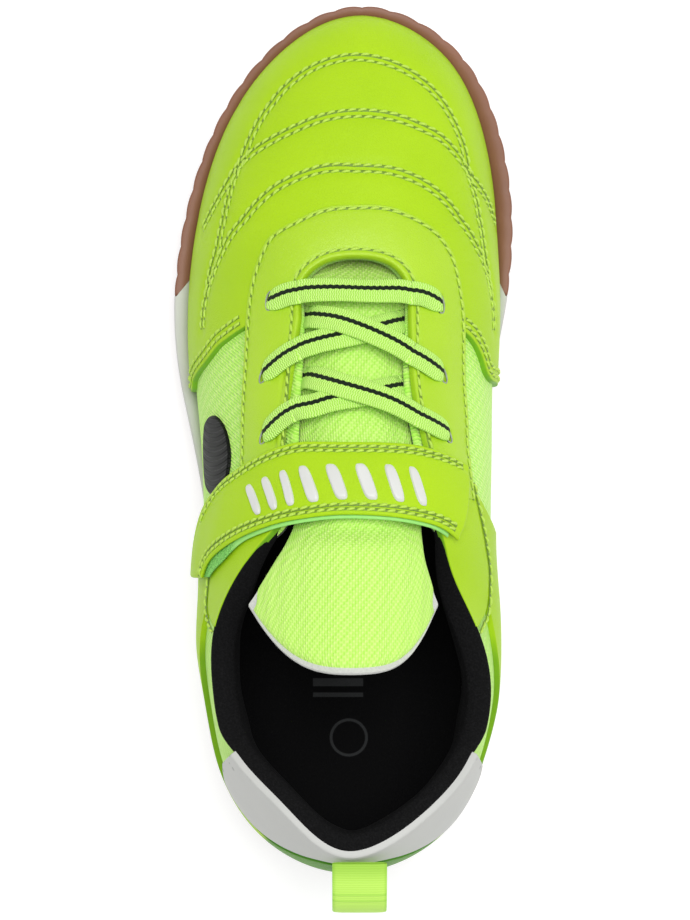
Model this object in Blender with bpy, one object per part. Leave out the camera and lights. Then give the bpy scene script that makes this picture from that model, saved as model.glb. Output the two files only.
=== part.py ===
"""Child's indoor court shoe for the left foot: cup sole, layered upper, instep strap.

Metres, +Z up, +Y to the toe, +X to the inner side of the foot. The origin is on the
floor under the middle of the heel. The whole upper comes from one surface, skin(t, v):
t runs round the shoe from the heel (0) along the outer side to the toe (0.5) and back
along the inner side (1), and v runs up a rib from the sole (0) to the collar edge (1).
"""

import math

import bmesh
import bpy
import numpy as np

# Overall sizes
SOLE_LENGTH = 0.215
BALL_WIDTH = 0.085
INSTEP_HEIGHT = 0.074
HEEL_HEIGHT = 0.076
HEEL_SEAT = 0.032

# Sole
HEEL_STACK = 0.0165
BALL_STACK = 0.0095
OUTSOLE_THICKNESS = 0.005
TOE_SPRING = 0.009
HEEL_BEVEL = 0.003
ARCH_RISE = 0.0012
RIM_HEIGHT = 0.0035
RIM_WIDTH = 0.0012
RIM_FALL = 0.0002
SHOULDER_BEVEL = 0.0009
SOLE_EDGE_BEVEL = 0.0018
SIDE_RIB_PITCH = 0.008
SIDE_RIB_DEPTH = 0.0006
GROOVE_DEPTH = 0.0014
GROOVE_WIDTH = 0.0022
GROOVE_PITCH = 0.0095
GROOVE_BOW = 0.006
INSOLE_THICKNESS = 0.003
INSOLE_BEVEL = 0.0006

# Upper and its layers
WALL = 0.002
LEATHER = 0.001
EYESTAY_LEATHER = 0.0016
COLLAR_PAD = 0.0045
COLLAR_PAD_EDGE = 0.0012
CREST_LEAN = 0.008
GAP = 0.0003
LAYER_GAP = 0.0004

# Tongue, strap, laces and pull loop
TONGUE_THICKNESS = 0.0032
TONGUE_RISE = 0.0255
TONGUE_PUFF = 0.0036
TONGUE_ARC = 0.015
STRAP_THICKNESS = 0.0011
STRAP_LINING = 0.0006
STRAP_LINING_INSET = 0.04
LACE_WIDTH = 0.0058
LACE_THICKNESS = 0.0012
LOOP_WIDTH = 0.013
LOOP_THICKNESS = 0.0012
LOOP_REACH = 0.0096
LOOP_SIDE = 0.0022

# Sections from heel to toe. The _y columns are hundredths of SOLE_LENGTH, of_heel and
# of_instep hundredths of HEEL_HEIGHT and INSTEP_HEIGHT, rise and drop hundredths of the
# rib's own height, and the others hundredths of BALL_WIDTH.
RIB_COLUMNS = ("sole_y", "sole_lat", "sole_med", "inset_lat", "inset_med",
               "top_y", "top_lat", "top_med", "of_heel", "of_instep",
               "rise", "swell_lat", "swell_med", "roll_lat", "roll_med", "drop")
RIBS = (
    (0.0, 0.0, 0.0, 3.5, 3.5, 3.5, 0.0, 0.0, 100, 0.0, 30, 8.4, 8.4, 7.6, 7.6, 34),
    (4.0, 26.6, 25.9, 3.5, 3.5, 9.1, 20.6, 25.1, 95.4, 0.0, 30, 8.4, 7.6, 10.6, 10.6, 34),
    (11.6, 38.0, 36.8, 3.5, 3.5, 15.3, 34.7, 36.5, 85.0, 0.0, 30, 7.1, 7.1, 5.9, 7.1, 34),
    (18.6, 40.4, 39.4, 3.5, 3.5, 21.9, 38.6, 39.4, 50.0, 29.6, 30, 8.2, 10.6, 5.9, 6.5, 34),
    (25.1, 40.7, 38.6, 3.5, 3.5, 28.4, 37.9, 35.3, 20.0, 61.9, 30, 12.4, 14.9, 8.8, 10.6, 34),
    (30.7, 40.9, 37.2, 3.6, 3.6, 34.0, 31.8, 28.7, 0.0, 90.3, 28, 13.5, 17.1, 12.4, 16.5, 30),
    (36.3, 41.5, 36.7, 3.8, 3.8, 38.1, 24.1, 25.8, 0.0, 97.3, 25, 14.7, 16.5, 16.5, 17.6, 24),
    (42.3, 43.5, 37.4, 4.0, 4.0, 41.6, 17.6, 23.3, 0.0, 98.6, 22, 13.5, 17.6, 20.0, 17.6, 20),
    (49.3, 46.8, 39.5, 4.2, 4.1, 47.9, 16.2, 20.0, 0.0, 92.2, 22, 10.0, 17.1, 20.0, 18.8, 20),
    (56.7, 50.7, 42.4, 4.7, 4.4, 55.3, 15.2, 16.7, 0.0, 84.3, 22, 6.5, 14.1, 22.4, 21.2, 20),
    (65.1, 52.4, 46.5, 5.1, 4.9, 62.6, 14.2, 16.7, 0.0, 76.5, 24, 4.7, 8.2, 23.5, 23.5, 20),
    (73.0, 50.5, 48.5, 4.7, 5.2, 66.3, 14.0, 16.2, 0.0, 72.7, 28, 3.5, 2.9, 23.5, 23.5, 20),
    (81.4, 45.1, 46.9, 4.0, 5.2, 68.3, 10.9, 13.6, 0.0, 71.6, 32, 3.5, 1.8, 25.9, 25.9, 20),
    (88.8, 36.4, 41.6, 3.5, 4.9, 69.3, 6.8, 9.9, 0.0, 71.2, 36, 4.1, 2.9, 30.6, 30.6, 22),
    (95.1, 23.6, 31.3, 3.4, 4.2, 69.7, 2.8, 6.1, 0.0, 70.9, 42, 4.7, 4.1, 34.1, 34.1, 24),
    (100.0, -3.5, 3.5, 3.2, 3.2, 69.8, -1.6, 1.6, 0.0, 70.9, 48, 4.7, 4.7, 35.3, 35.3, 26),
)
BRIDGE = 0.25


def smooth(x, low, high):
    """Rises from 0 at low to 1 at high with level ends: 3s^2 - 2s^3."""
    s = np.clip((x - low) / (high - low), 0.0, 1.0)
    return s * s * (3.0 - 2.0 * s)


def column(name):
    return np.array([row[RIB_COLUMNS.index(name)] for row in RIBS]) / 100.0


def unit(vectors):
    return vectors / np.linalg.norm(vectors, axis=-1, keepdims=True)


def along(share):
    """World y of a place given as a share of the sole's length from its rear end."""
    return share * SOLE_LENGTH - HEEL_SEAT


def ground(y):
    """Height of the tread: flat, with toe spring, a heel bevel and a slight arch."""
    share = (y + HEEL_SEAT) / SOLE_LENGTH
    toe = TOE_SPRING * np.clip((share - 0.70) / 0.30, 0.0, 1.0) ** 1.9
    heel = HEEL_BEVEL * np.clip((0.042 - share) / 0.042, 0.0, 1.0) ** 2
    arch = ARCH_RISE * smooth(share, 0.30, 0.37) * (1.0 - smooth(share, 0.47, 0.54))
    return toe + heel + arch


def bed(y):
    """Height of the sole's upper face under the insole."""
    share = (y + HEEL_SEAT) / SOLE_LENGTH
    toe = TOE_SPRING * np.clip((share - 0.70) / 0.30, 0.0, 1.0) ** 1.9
    return toe + HEEL_STACK + (BALL_STACK - HEEL_STACK) * smooth(share, 0.25, 0.63)


def side_values(side):
    """The rib table's lengths in metres for the outer side (-1) or the inner side (1)."""
    tag = "_lat" if side < 0 else "_med"
    return np.column_stack([
        side * column("sole" + tag) * BALL_WIDTH,
        along(column("sole_y")),
        side * column("top" + tag) * BALL_WIDTH,
        along(column("top_y")),
        column("of_heel") * HEEL_HEIGHT + column("of_instep") * INSTEP_HEIGHT,
        column("inset" + tag) * BALL_WIDTH,
        column("rise"),
        column("swell" + tag) * BALL_WIDTH,
        column("roll" + tag) * BALL_WIDTH,
        column("drop"),
    ])


def ring_spline():
    """Closed cubic spline through the sections of both sides, as a function of t."""
    outer, inner = side_values(-1), side_values(1)
    knots = np.vstack([outer, inner[-2:0:-1]])
    steps = [np.hypot(*np.diff(side[:, :2], axis=0).T) for side in (outer, inner)]
    run = np.concatenate([[0.0], np.cumsum(steps[0] + steps[1])])
    half = 0.5 * run / run[-1]
    t = np.concatenate([half, 1.0 - half[-2:0:-1]])
    count = len(t)
    gap = np.diff(np.append(t, 1.0))
    before = np.roll(gap, 1)
    matrix = np.zeros((count, count))
    index = np.arange(count)
    matrix[index, index] = 2.0 * (gap + before)
    matrix[index, (index - 1) % count] += before
    matrix[index, (index + 1) % count] += gap
    ahead = (np.roll(knots, -1, 0) - knots) / gap[:, None]
    behind = (knots - np.roll(knots, 1, 0)) / before[:, None]
    bend = np.linalg.solve(matrix, 6.0 * (ahead - behind))
    return t, knots, bend, gap, half


RING_T, RING_KNOTS, RING_BEND, RING_GAP, HALF_T = ring_spline()


def ring(t):
    t = np.asarray(t, float) % 1.0
    low = np.clip(np.searchsorted(RING_T, t, side="right") - 1, 0, len(RING_T) - 1)
    high = (low + 1) % len(RING_T)
    step = RING_GAP[low][..., None]
    b = (t - RING_T[low])[..., None] / step
    a = 1.0 - b
    curve = (a ** 3 - a) * RING_BEND[low] + (b ** 3 - b) * RING_BEND[high]
    return a * RING_KNOTS[low] + b * RING_KNOTS[high] + curve * step ** 2 / 6.0


def outward(t):
    """Level unit vector that points out of the sole's outline."""
    step = 1e-4
    tangent = unit(ring(np.asarray(t) + step)[..., :2] - ring(np.asarray(t) - step)[..., :2])
    return np.stack([-tangent[..., 1], tangent[..., 0], np.zeros(tangent.shape[:-1])], -1)


def station(share):
    """t on the outer side where the sole's outline passes this share of its length."""
    return np.interp(share, column("sole_y"), HALF_T)


def skin(t, v):
    """Outer face of the shoe's overlays: a cubic Bezier rib for each t.

    Each rib starts upright on the sole, leans out by its swell and comes in to the
    collar or throat edge with its roll, falling away from that edge by its drop.
    """
    t, v = np.broadcast_arrays(np.asarray(t, float), np.asarray(v, float))
    values = ring(t)
    out = outward(t)
    up = np.array([0.0, 0.0, 1.0])
    foot = np.concatenate([values[..., :2], np.zeros(values.shape[:-1] + (1,))], -1)
    foot = foot - out * values[..., 5:6]
    foot[..., 2] = bed(foot[..., 1]) + GAP
    edge = values[..., 2:5]
    height = (edge[..., 2] - foot[..., 2])[..., None]
    low = foot + out * values[..., 7:8] + up * values[..., 6:7] * height
    level = unit((foot - edge) * np.array([1.0, 1.0, 0.0]) + out * CREST_LEAN)
    high = edge + level * values[..., 8:9] - up * values[..., 9:10] * height
    v = v[..., None]
    w = 1.0 - v
    return w ** 3 * foot + 3 * w * w * v * low + 3 * w * v * v * high + v ** 3 * edge


def skin_normal(t, v):
    step = 1e-3
    t, v = np.broadcast_arrays(np.asarray(t, float), np.asarray(v, float))
    v_low, v_high = np.clip(v - step, 0, 1), np.clip(v + step, 0, 1)
    along_t = skin(t + step, v) - skin(t - step, v)
    along_v = skin(t, v_high) - skin(t, v_low)
    normal = unit(np.cross(along_v, along_t))
    normal[..., 2] *= smooth(v, 0.0, 0.1)
    return unit(normal)


def layer(t, v, offset):
    """The skin moved outward by an offset; at v = 0 it moves level, so feet stay flat."""
    return skin(t, v) + skin_normal(t, v) * np.asarray(offset, float)[..., None]


def over(t, s):
    """The skin closed over the throat: s runs from the outer foot (-1) to the inner (1)."""
    t, s = np.broadcast_arrays(np.asarray(t, float), np.asarray(s, float))
    v = np.clip((1.0 - np.abs(s)) / (1.0 - BRIDGE), 0.0, 1.0)
    side_t = np.where(s < 0, t, 1.0 - t)
    on_rib = skin(side_t, v)
    ends = [skin(q, np.ones_like(q)) for q in (t, 1.0 - t)]
    starts = [skin(q, np.full_like(q, 0.98)) for q in (t, 1.0 - t)]
    chord = np.linalg.norm(ends[1] - ends[0], axis=-1, keepdims=True)
    leave = unit(ends[0] - starts[0]) * chord
    arrive = -unit(ends[1] - starts[1]) * chord
    h = np.clip((s + BRIDGE) / (2.0 * BRIDGE), 0.0, 1.0)[..., None]
    bridge = ((2 * h ** 3 - 3 * h ** 2 + 1) * ends[0] + (h ** 3 - 2 * h ** 2 + h) * leave
              + (3 * h ** 2 - 2 * h ** 3) * ends[1] + (h ** 3 - h ** 2) * arrive)
    return np.where((np.abs(s) < BRIDGE)[..., None], bridge, on_rib)


def over_normal(t, s):
    """Outward normal of the closed-over skin."""
    step = 2e-3
    along_t = over(t + step, s) - over(t - step, s)
    along_s = over(t, np.minimum(s + step, 1.0)) - over(t, np.maximum(s - step, -1.0))
    return -unit(np.cross(along_t, along_s))


def over_layer(t, s, offset):
    t, s = np.broadcast_arrays(np.asarray(t, float), np.asarray(s, float))
    return over(t, s) + over_normal(t, s) * np.broadcast_to(offset, t.shape)[..., None]


def through(rows, count):
    """Smooth curve with count points through the rows of a table (Catmull-Rom)."""
    rows = np.asarray(rows, float)
    ends = np.vstack([2 * rows[0] - rows[1], rows, 2 * rows[-1] - rows[-2]])
    u = np.linspace(0.0, len(rows) - 1.0, count)
    k = np.minimum(u.astype(int), len(rows) - 2)
    f = (u - k)[:, None]
    a, b, c, d = (ends[k + n] for n in range(4))
    return 0.5 * (2 * b + (c - a) * f + (2 * a - 5 * b + 4 * c - d) * f ** 2
                  + (3 * b - a - 3 * c + d) * f ** 3)


def material(name, color, roughness, metallic=0.0):
    made = bpy.data.materials.new(name)
    made.use_nodes = True
    shader = made.node_tree.nodes["Principled BSDF"]
    shader.inputs["Base Color"].default_value = (*color, 1.0)
    shader.inputs["Roughness"].default_value = roughness
    shader.inputs["Metallic"].default_value = metallic
    made.diffuse_color = (*color, 1.0)
    return made


def solid(name, points, faces, finish):
    """Closed mesh object from points and faces, turned so that its faces point out."""
    mesh = bpy.data.meshes.new(name)
    mesh.from_pydata([tuple(p) for p in points], [], faces)
    shape = bmesh.new()
    shape.from_mesh(mesh)
    if shape.calc_volume(signed=True) < 0:
        bmesh.ops.reverse_faces(shape, faces=shape.faces)
    shape.to_mesh(mesh)
    shape.free()
    made = bpy.data.objects.new(name, mesh)
    bpy.context.collection.objects.link(made)
    if finish is not None:
        mesh.materials.append(finish)
        mesh.shade_smooth()
        mesh.set_sharp_from_angle(angle=math.radians(35))
    return made


def grid_faces(rows, cols, wrap_rows=False, wrap_cols=False):
    """Quads of a rows by cols grid of points, joined round in either direction."""
    faces = []
    for i in range(rows if wrap_rows else rows - 1):
        for j in range(cols if wrap_cols else cols - 1):
            k = (i + 1) % rows
            m = (j + 1) % cols
            faces.append((i * cols + j, i * cols + m, k * cols + m, k * cols + j))
    return faces


def closed_band(name, sections, finish):
    """Ring-shaped solid: every section is a closed loop of points, joined all round."""
    rows, cols = sections.shape[:2]
    return solid(name, sections.reshape(-1, 3), grid_faces(rows, cols, True, True), finish)


def open_band(name, sections, finish):
    """Solid with two ends: every section is a closed loop of an even number of points."""
    rows, cols = sections.shape[:2]
    faces = grid_faces(rows, cols, False, True)
    last = (rows - 1) * cols
    for j in range(cols // 2 - 1):
        k = cols - 1 - j
        faces.append((j + 1, j, k, k - 1))
        faces.append((last + j, last + j + 1, last + k - 1, last + k))
    return solid(name, sections.reshape(-1, 3), faces, finish)


def slab(name, upper_face, lower_face, finish):
    """Sheet between two faces, each of rows by cols points."""
    sections = np.concatenate([upper_face, lower_face[:, ::-1]], axis=1)
    return open_band(name, sections, finish)


def ladder_solid(name, levels, finish):
    """Stack of rings from the heel round to the heel, closed by rungs below and above."""
    levels = np.asarray(levels)
    count = levels.shape[1]
    half = count // 2
    faces = grid_faces(len(levels), count, False, True)
    top = (len(levels) - 1) * count
    for i in range(half):
        a, b, c, d = i + 1, i, (count - i) % count, count - i - 1
        rung = (a, b, d) if i == 0 else (a, b, c) if i == half - 1 else (a, b, c, d)
        faces.append(rung)
        faces.append(tuple(top + k for k in reversed(rung)))
    return solid(name, levels.reshape(-1, 3), faces, finish)


def cut(target, cutter, operation):
    """Boolean with a hidden cutter object."""
    cutter.hide_render = True
    cutter.display_type = "WIRE"
    step = target.modifiers.new(operation.lower(), "BOOLEAN")
    step.operation = operation
    step.object = cutter


# Materials
GUM = material("gum_rubber", (0.34, 0.13, 0.075), 0.55)
FOAM = material("white_foam", (0.62, 0.62, 0.60), 0.6)
SOCK = material("black_sock", (0.012, 0.012, 0.013), 0.9)
MESH = material("lime_mesh", (0.43, 0.85, 0.16), 0.8)
SYNTHETIC = material("lime_synthetic", (0.50, 0.82, 0.035), 0.42)
COUNTER_GREEN = material("green_counter", (0.24, 0.52, 0.03), 0.5)
PATCH_GREY = material("grey_patch", (0.55, 0.55, 0.52), 0.6)
LINING_BLACK = material("black_lining", (0.008, 0.008, 0.009), 0.95)
HOOK_GREEN = material("green_hook", (0.14, 0.55, 0.05), 0.9)
LACE_GREEN = material("lime_elastic", (0.50, 0.95, 0.13), 0.7)
RIBBON_GREEN = material("lime_ribbon", (0.36, 0.78, 0.06), 0.6)


def sole_stations():
    """t of the sole's rings: even at the rear, three to each side rib round the forefoot."""
    start = station(0.42)
    outline = ring(np.linspace(0.0, 1.0, 721))[:, :2]
    length = np.hypot(*np.diff(outline, axis=0).T).sum()
    ribs = max(4, round((0.5 - start) * length / SIDE_RIB_PITCH))
    pitch = (0.5 - start) / ribs
    notch = 0.12
    rear = np.linspace(0.0, start, 15)[:-1]
    front = [start + pitch * (k + part) for k in range(ribs) for part in (0, notch, 1 - notch)]
    half = np.concatenate([rear, front, [0.5]])
    in_notch = np.concatenate([np.zeros(len(rear)), np.tile([1, 0, 0], ribs), [1]])
    t = np.concatenate([half, 1.0 - half[-2:0:-1]])
    depth = np.concatenate([in_notch, in_notch[-2:0:-1]]) * SIDE_RIB_DEPTH
    return t, depth


def rim_share(t):
    """v up to which the sole's rim backs the upper: its height, or where the upper leans out."""
    v = np.linspace(0.0, 0.35, 71)
    grid = skin(t[:, None], v[None, :])
    rise = (grid[..., 2] - grid[:, :1, 2]) / RIM_HEIGHT
    room = ring(t)[:, 5] - RIM_WIDTH - GAP
    lean = ((grid - grid[:, :1]) * outward(t)[:, None]).sum(-1) / room[:, None]
    load = np.maximum.accumulate(np.maximum(rise, lean), axis=1)
    return np.array([np.interp(1.0, row, v) for row in load])


def level_ring(t, inset, height):
    """Ring at an inset inside the outline, at a height that is a function of y."""
    points = np.concatenate([ring(t)[:, :2], np.zeros((len(t), 1))], 1)
    points = points - outward(t) * np.broadcast_to(inset, t.shape)[:, None]
    points[:, 2] = height(points[:, 1])
    return points


def sole_levels():
    t, notch = sole_stations()
    rim = skin(t, rim_share(t)) + outward(t) * GAP
    foot = skin(t, np.zeros_like(t)) + outward(t) * GAP
    foot[:, 2] = bed(foot[:, 1])
    top_edge = level_ring(t, SHOULDER_BEVEL, bed)
    top_edge[:, 2] = rim[:, 2] - RIM_FALL
    shoulder = level_ring(t, notch, bed)
    shoulder[:, 2] = top_edge[:, 2] - SHOULDER_BEVEL
    return [
        level_ring(t, SOLE_EDGE_BEVEL, ground),
        level_ring(t, 0.3 * SOLE_EDGE_BEVEL + notch, lambda y: ground(y) + SOLE_EDGE_BEVEL),
        level_ring(t, notch, lambda y: ground(y) + OUTSOLE_THICKNESS),
        shoulder,
        top_edge,
        rim,
        foot,
    ]


def parting_block(name, lift):
    """Everything above the joint between outsole and midsole, as a block to cut with."""
    low = OUTSOLE_THICKNESS + lift
    high = bed(along(0.70)) + 3.0 * RIM_HEIGHT
    slope_start, slope_end = along(0.615), along(0.715)
    lean = lift * 1.2
    profile = [
        (along(-0.2), low + HEEL_BEVEL * 0.2), (along(0.042), low), (slope_start - lean, low),
        (slope_end - lean, high), (slope_end - lean, high + HEEL_HEIGHT),
        (along(-0.2), high + HEEL_HEIGHT),
    ]
    points = [(x, y, z) for x in (-BALL_WIDTH, BALL_WIDTH) for y, z in profile]
    count = len(profile)
    faces = [(k, (k + 1) % count, count + (k + 1) % count, count + k) for k in range(count)]
    faces += [tuple(range(count))[::-1], tuple(range(count, 2 * count))]
    return solid(name, points, faces, None)


def groove_block(name):
    """Bowed cross grooves of the tread, under the heel and under the forefoot."""
    points, faces = [], []
    places = [along(0.035) + GROOVE_PITCH * k for k in (0, 1, 5, 6)]
    first = along(0.60)
    places += [first + GROOVE_PITCH * k for k in range(-1, 8) if k not in (1, 2)]
    across = np.linspace(-0.62, 0.62, 9) * BALL_WIDTH
    for place in places:
        bow = GROOVE_BOW * (across / (0.62 * BALL_WIDTH)) ** 2
        base = len(points)
        roof = ground(place + 0.5 * GROOVE_WIDTH) + GROOVE_DEPTH
        for x, back in zip(across, bow):
            rear, front = place - back, place - back + GROOVE_WIDTH
            points += [(x, rear, -GROOVE_DEPTH), (x, front, -GROOVE_DEPTH), (x, front, roof), (x, rear, roof)]
        faces += [tuple(base + k for k in f) for f in grid_faces(len(across), 4, False, True)]
        end = base + 4 * (len(across) - 1)
        faces += [(base + 3, base + 2, base + 1, base), (end, end + 1, end + 2, end + 3)]
    return solid(name, points, faces, None)


def build_sole():
    levels = sole_levels()
    outsole = ladder_solid("outsole", levels, GUM)
    midsole = ladder_solid("midsole", levels, FOAM)
    cut(outsole, parting_block("above_outsole", 0.0), "DIFFERENCE")
    cut(outsole, groove_block("tread_grooves"), "DIFFERENCE")
    cut(midsole, parting_block("above_joint", GAP), "INTERSECT")


def build_insole():
    half = np.linspace(0.0, 0.5, 31)
    t = np.concatenate([half, 1.0 - half[-2:0:-1]])
    inset = -SHELL_IN + GAP
    base = skin(t, np.zeros_like(t)) - outward(t) * (inset + GAP)
    low, high = GAP, GAP + INSOLE_THICKNESS
    steps = ((INSOLE_BEVEL, low), (0.0, low + INSOLE_BEVEL), (0.0, high - INSOLE_BEVEL), (INSOLE_BEVEL, high))
    levels = []
    for back, lift in steps:
        level = base - outward(t) * back
        level[:, 2] = bed(level[:, 1]) + lift
        levels.append(level)
    ladder_solid("insole", levels, SOCK)


SHELL_OUT = -(LEATHER + LAYER_GAP)
SHELL_IN = SHELL_OUT - WALL
# Lines that the shell and all its overlays are built on, so that their facets lie parallel
T_LINES = np.arange(64) / 64.0
V_LINES = np.array([0.0, 0.12, 0.25, 0.38, 0.51, 0.64, 0.77, 0.89, 1.0])
LINE_STEP = 0.003


def gathered(lines, low, high):
    """The shell's lines between two edges; lines beyond an edge gather just inside it."""
    low, high = np.asarray(low, float)[..., None], np.asarray(high, float)[..., None]
    lines = lines[(lines > low.min()) & (lines < high.max())]
    order = np.arange(1, len(lines) + 1) * LINE_STEP
    inner = np.minimum(np.maximum(lines, low + order), high - order[::-1])
    return np.concatenate([low, inner, high], axis=-1)


def t_lines(start, end):
    """Lines of the shell from start to end, which may lie on either side of the heel."""
    return gathered(np.concatenate([T_LINES - 1.0, T_LINES]), start, end)


def build_upper():
    grid_t, grid_v = np.meshgrid(T_LINES, V_LINES, indexing="ij")
    outer = layer(grid_t, grid_v, np.full(grid_t.shape, SHELL_OUT))
    inner = layer(grid_t, grid_v, np.full(grid_t.shape, SHELL_IN))
    crown = 0.5 * (outer[:, -1] + inner[:, -1]) + unit(outer[:, -1] - outer[:, -2]) * WALL * 0.3
    sections = np.concatenate([outer, crown[:, None], inner[:, ::-1]], axis=1)
    closed_band("upper", sections, MESH)


# Outer edge of the eyestay: share of the sole's length, v on the outer and inner side
EYESTAY_EDGE = (
    (1.00, 0.856, 0.856), (0.93, 0.842, 0.834), (0.88, 0.827, 0.814), (0.84, 0.803, 0.790),
    (0.80, 0.778, 0.762), (0.74, 0.773, 0.733), (0.69, 0.761, 0.731), (0.65, 0.752, 0.722),
    (0.59, 0.750, 0.710), (0.53, 0.736, 0.709), (0.49, 0.732, 0.730), (0.42, 0.730, 0.735),
)


def eyestay_edge(t):
    """v of the eyestay's outer edge, followed from the outer side round the toe."""
    rows = np.array(EYESTAY_EDGE)
    outer = np.column_stack([station(rows[::-1, 0]), rows[::-1, 1]])
    inner = np.column_stack([1.0 - station(rows[1:, 0]), rows[1:, 2]])
    path = through(np.vstack([outer, inner]), 400)
    return np.interp(t, path[:, 0], path[:, 1])


def patch(name, t, v, top, bottom, finish):
    return slab(name, layer(t, v, np.full(t.shape, top)), layer(t, v, np.full(t.shape, bottom)), finish)


def edge_patch(name, t, low, high, top, finish):
    """Overlay between two edges v = low and v = high given at each t."""
    v = gathered(V_LINES, low, high)
    patch(name, np.repeat(t[:, None], v.shape[1], axis=1), v, top, -LEATHER, finish)


# Rear edges of the vamp: v, share of the sole's length on the outer and inner side
VAMP_REAR = ((0.0, 0.545, 0.552), (0.23, 0.550, 0.557), (0.36, 0.570, 0.564), (0.45, 0.582, 0.571),
             (0.58, 0.606, 0.594), (0.70, 0.625, 0.616), (0.80, 0.640, 0.634))
VAMP_TOP_GAP = 0.012


def build_vamp():
    lines = np.append(V_LINES[V_LINES < 0.76], 1.0)
    height, outer_share, inner_share = np.array(VAMP_REAR).T
    reach = np.minimum(lines, 0.75)
    outer_side = station(np.interp(reach, height, outer_share))
    inner_side = 1.0 - station(np.interp(reach, height, inner_share))
    t = gathered(T_LINES, outer_side, inner_side).T
    edge = eyestay_edge(t) - VAMP_TOP_GAP
    order = np.arange(len(lines))[::-1] * LINE_STEP
    v = np.minimum(lines, edge - order)
    patch("vamp", t, v, 0.0, -LEATHER, SYNTHETIC)


EYESTAY_REACH = 0.43


def build_eyestay():
    t = t_lines(station(EYESTAY_REACH), 1.0 - station(EYESTAY_REACH))
    edge_patch("eyestay", t, eyestay_edge(t), np.ones(t.shape), EYESTAY_LEATHER - LEATHER, SYNTHETIC)


# Top of the heel counter and bottom of the collar panels and heel patch, as a share v of
# the rib, at shares of the sole's length
COUNTER_TOP = (
    (0.0, 0.79), (0.013, 0.73), (0.026, 0.58), (0.04, 0.48), (0.08, 0.44), (0.12, 0.40), (0.16, 0.44),
    (0.21, 0.58), (0.25, 0.66), (0.28, 0.69), (0.31, 0.67), (0.335, 0.63), (0.42, 0.68),
)
PANEL_BOTTOM = (
    (0.25, 0.97), (0.265, 0.88), (0.28, 0.80), (0.30, 0.74), (0.335, 0.69), (0.37, 0.70), (0.42, 0.73),
)
PATCH_BOTTOM = (
    (0.0, 0.86), (0.013, 0.81), (0.026, 0.66), (0.04, 0.56), (0.07, 0.53), (0.09, 0.54), (0.107, 0.74),
)
PATCH_REACH = 0.107
OVERLAY_REACH = 0.42


def edge_at(table, t):
    """Edge height v at t, the same on both sides of the shoe."""
    share = np.interp(np.minimum(np.abs(t), 1.0 - np.abs(t)), HALF_T, column("sole_y"))
    return np.interp(share, [row[0] for row in table], [row[1] for row in table])


def build_rear_overlays():
    reach = station(OVERLAY_REACH)
    t = t_lines(-reach, reach)
    edge_patch("heel_counter", t, np.zeros(t.shape), edge_at(COUNTER_TOP, t), 0.0, COUNTER_GREEN)
    t = t_lines(-station(PATCH_REACH), station(PATCH_REACH))
    edge_patch("heel_patch", t, edge_at(PATCH_BOTTOM, t), np.ones(t.shape), 0.0, PATCH_GREY)
    t = t_lines(station(PANEL_BOTTOM[0][0]), reach)
    for name, side_t in (("collar_panel_outer", t), ("collar_panel_inner", 1.0 - t)):
        edge_patch(name, side_t, edge_at(PANEL_BOTTOM, t), np.ones(t.shape), 0.0, SYNTHETIC)


def build_collar_pad():
    lines = np.concatenate([T_LINES - 1.0, T_LINES])
    t = lines[np.abs(lines) < station(0.375)]
    reach = t[-1]
    v = V_LINES[V_LINES > 0.4]
    taper = smooth(reach - np.abs(t), 0.0, 0.05)[:, None]
    swell = np.array([0.4, 0.85, 1.0, 0.9, 0.5])[None, :]
    grid_t, grid_v = np.meshgrid(t, v, indexing="ij")
    face = SHELL_IN - 2.0 * GAP
    deep = face - COLLAR_PAD_EDGE - COLLAR_PAD * swell * (0.25 + 0.75 * taper)
    back = layer(grid_t, grid_v, np.full(grid_t.shape, face))
    front = layer(grid_t, grid_v, deep)
    slab("collar_pad", back, front, LINING_BLACK)


# Tongue under the laces and strap: share of the sole's length, half width s on the
# closed-over skin, and how far its middle puffs up, in hundredths of TONGUE_PUFF
TONGUE_UNDER = ((0.80, 0.32, 0), (0.74, 0.32, 20), (0.68, 0.32, 30), (0.62, 0.32, 30),
                (0.56, 0.32, 35), (0.51, 0.30, 60), (0.47, 0.28, 90), (0.435, 0.25, 100))
# Its hidden front end, turned down under the vamp: share of the first row's width, and
# metres forward and up from it
TONGUE_TUCK = ((0.75, 0.009, -0.0085), (0.95, 0.004, -0.0038))
# Its free end behind the strap. Hundredths of SOLE_LENGTH for the row's two corners, two
# half widths in hundredths of BALL_WIDTH, rises of its middle and its corners in
# hundredths of TONGUE_RISE, and how far it bows to the rear in hundredths of TONGUE_ARC
TONGUE_FREE = ((39.7, 16.5, 20.3, 16, -7, 0), (37.9, 18.7, 20.8, 35, -1, 5), (36.0, 21.6, 21.5, 50, 5, 18),
               (33.8, 24.9, 23.0, 71, 12, 45), (32.4, 27.0, 23.9, 88, 17, 72), (31.5, 28.4, 24.5, 100, 21, 100))


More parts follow.
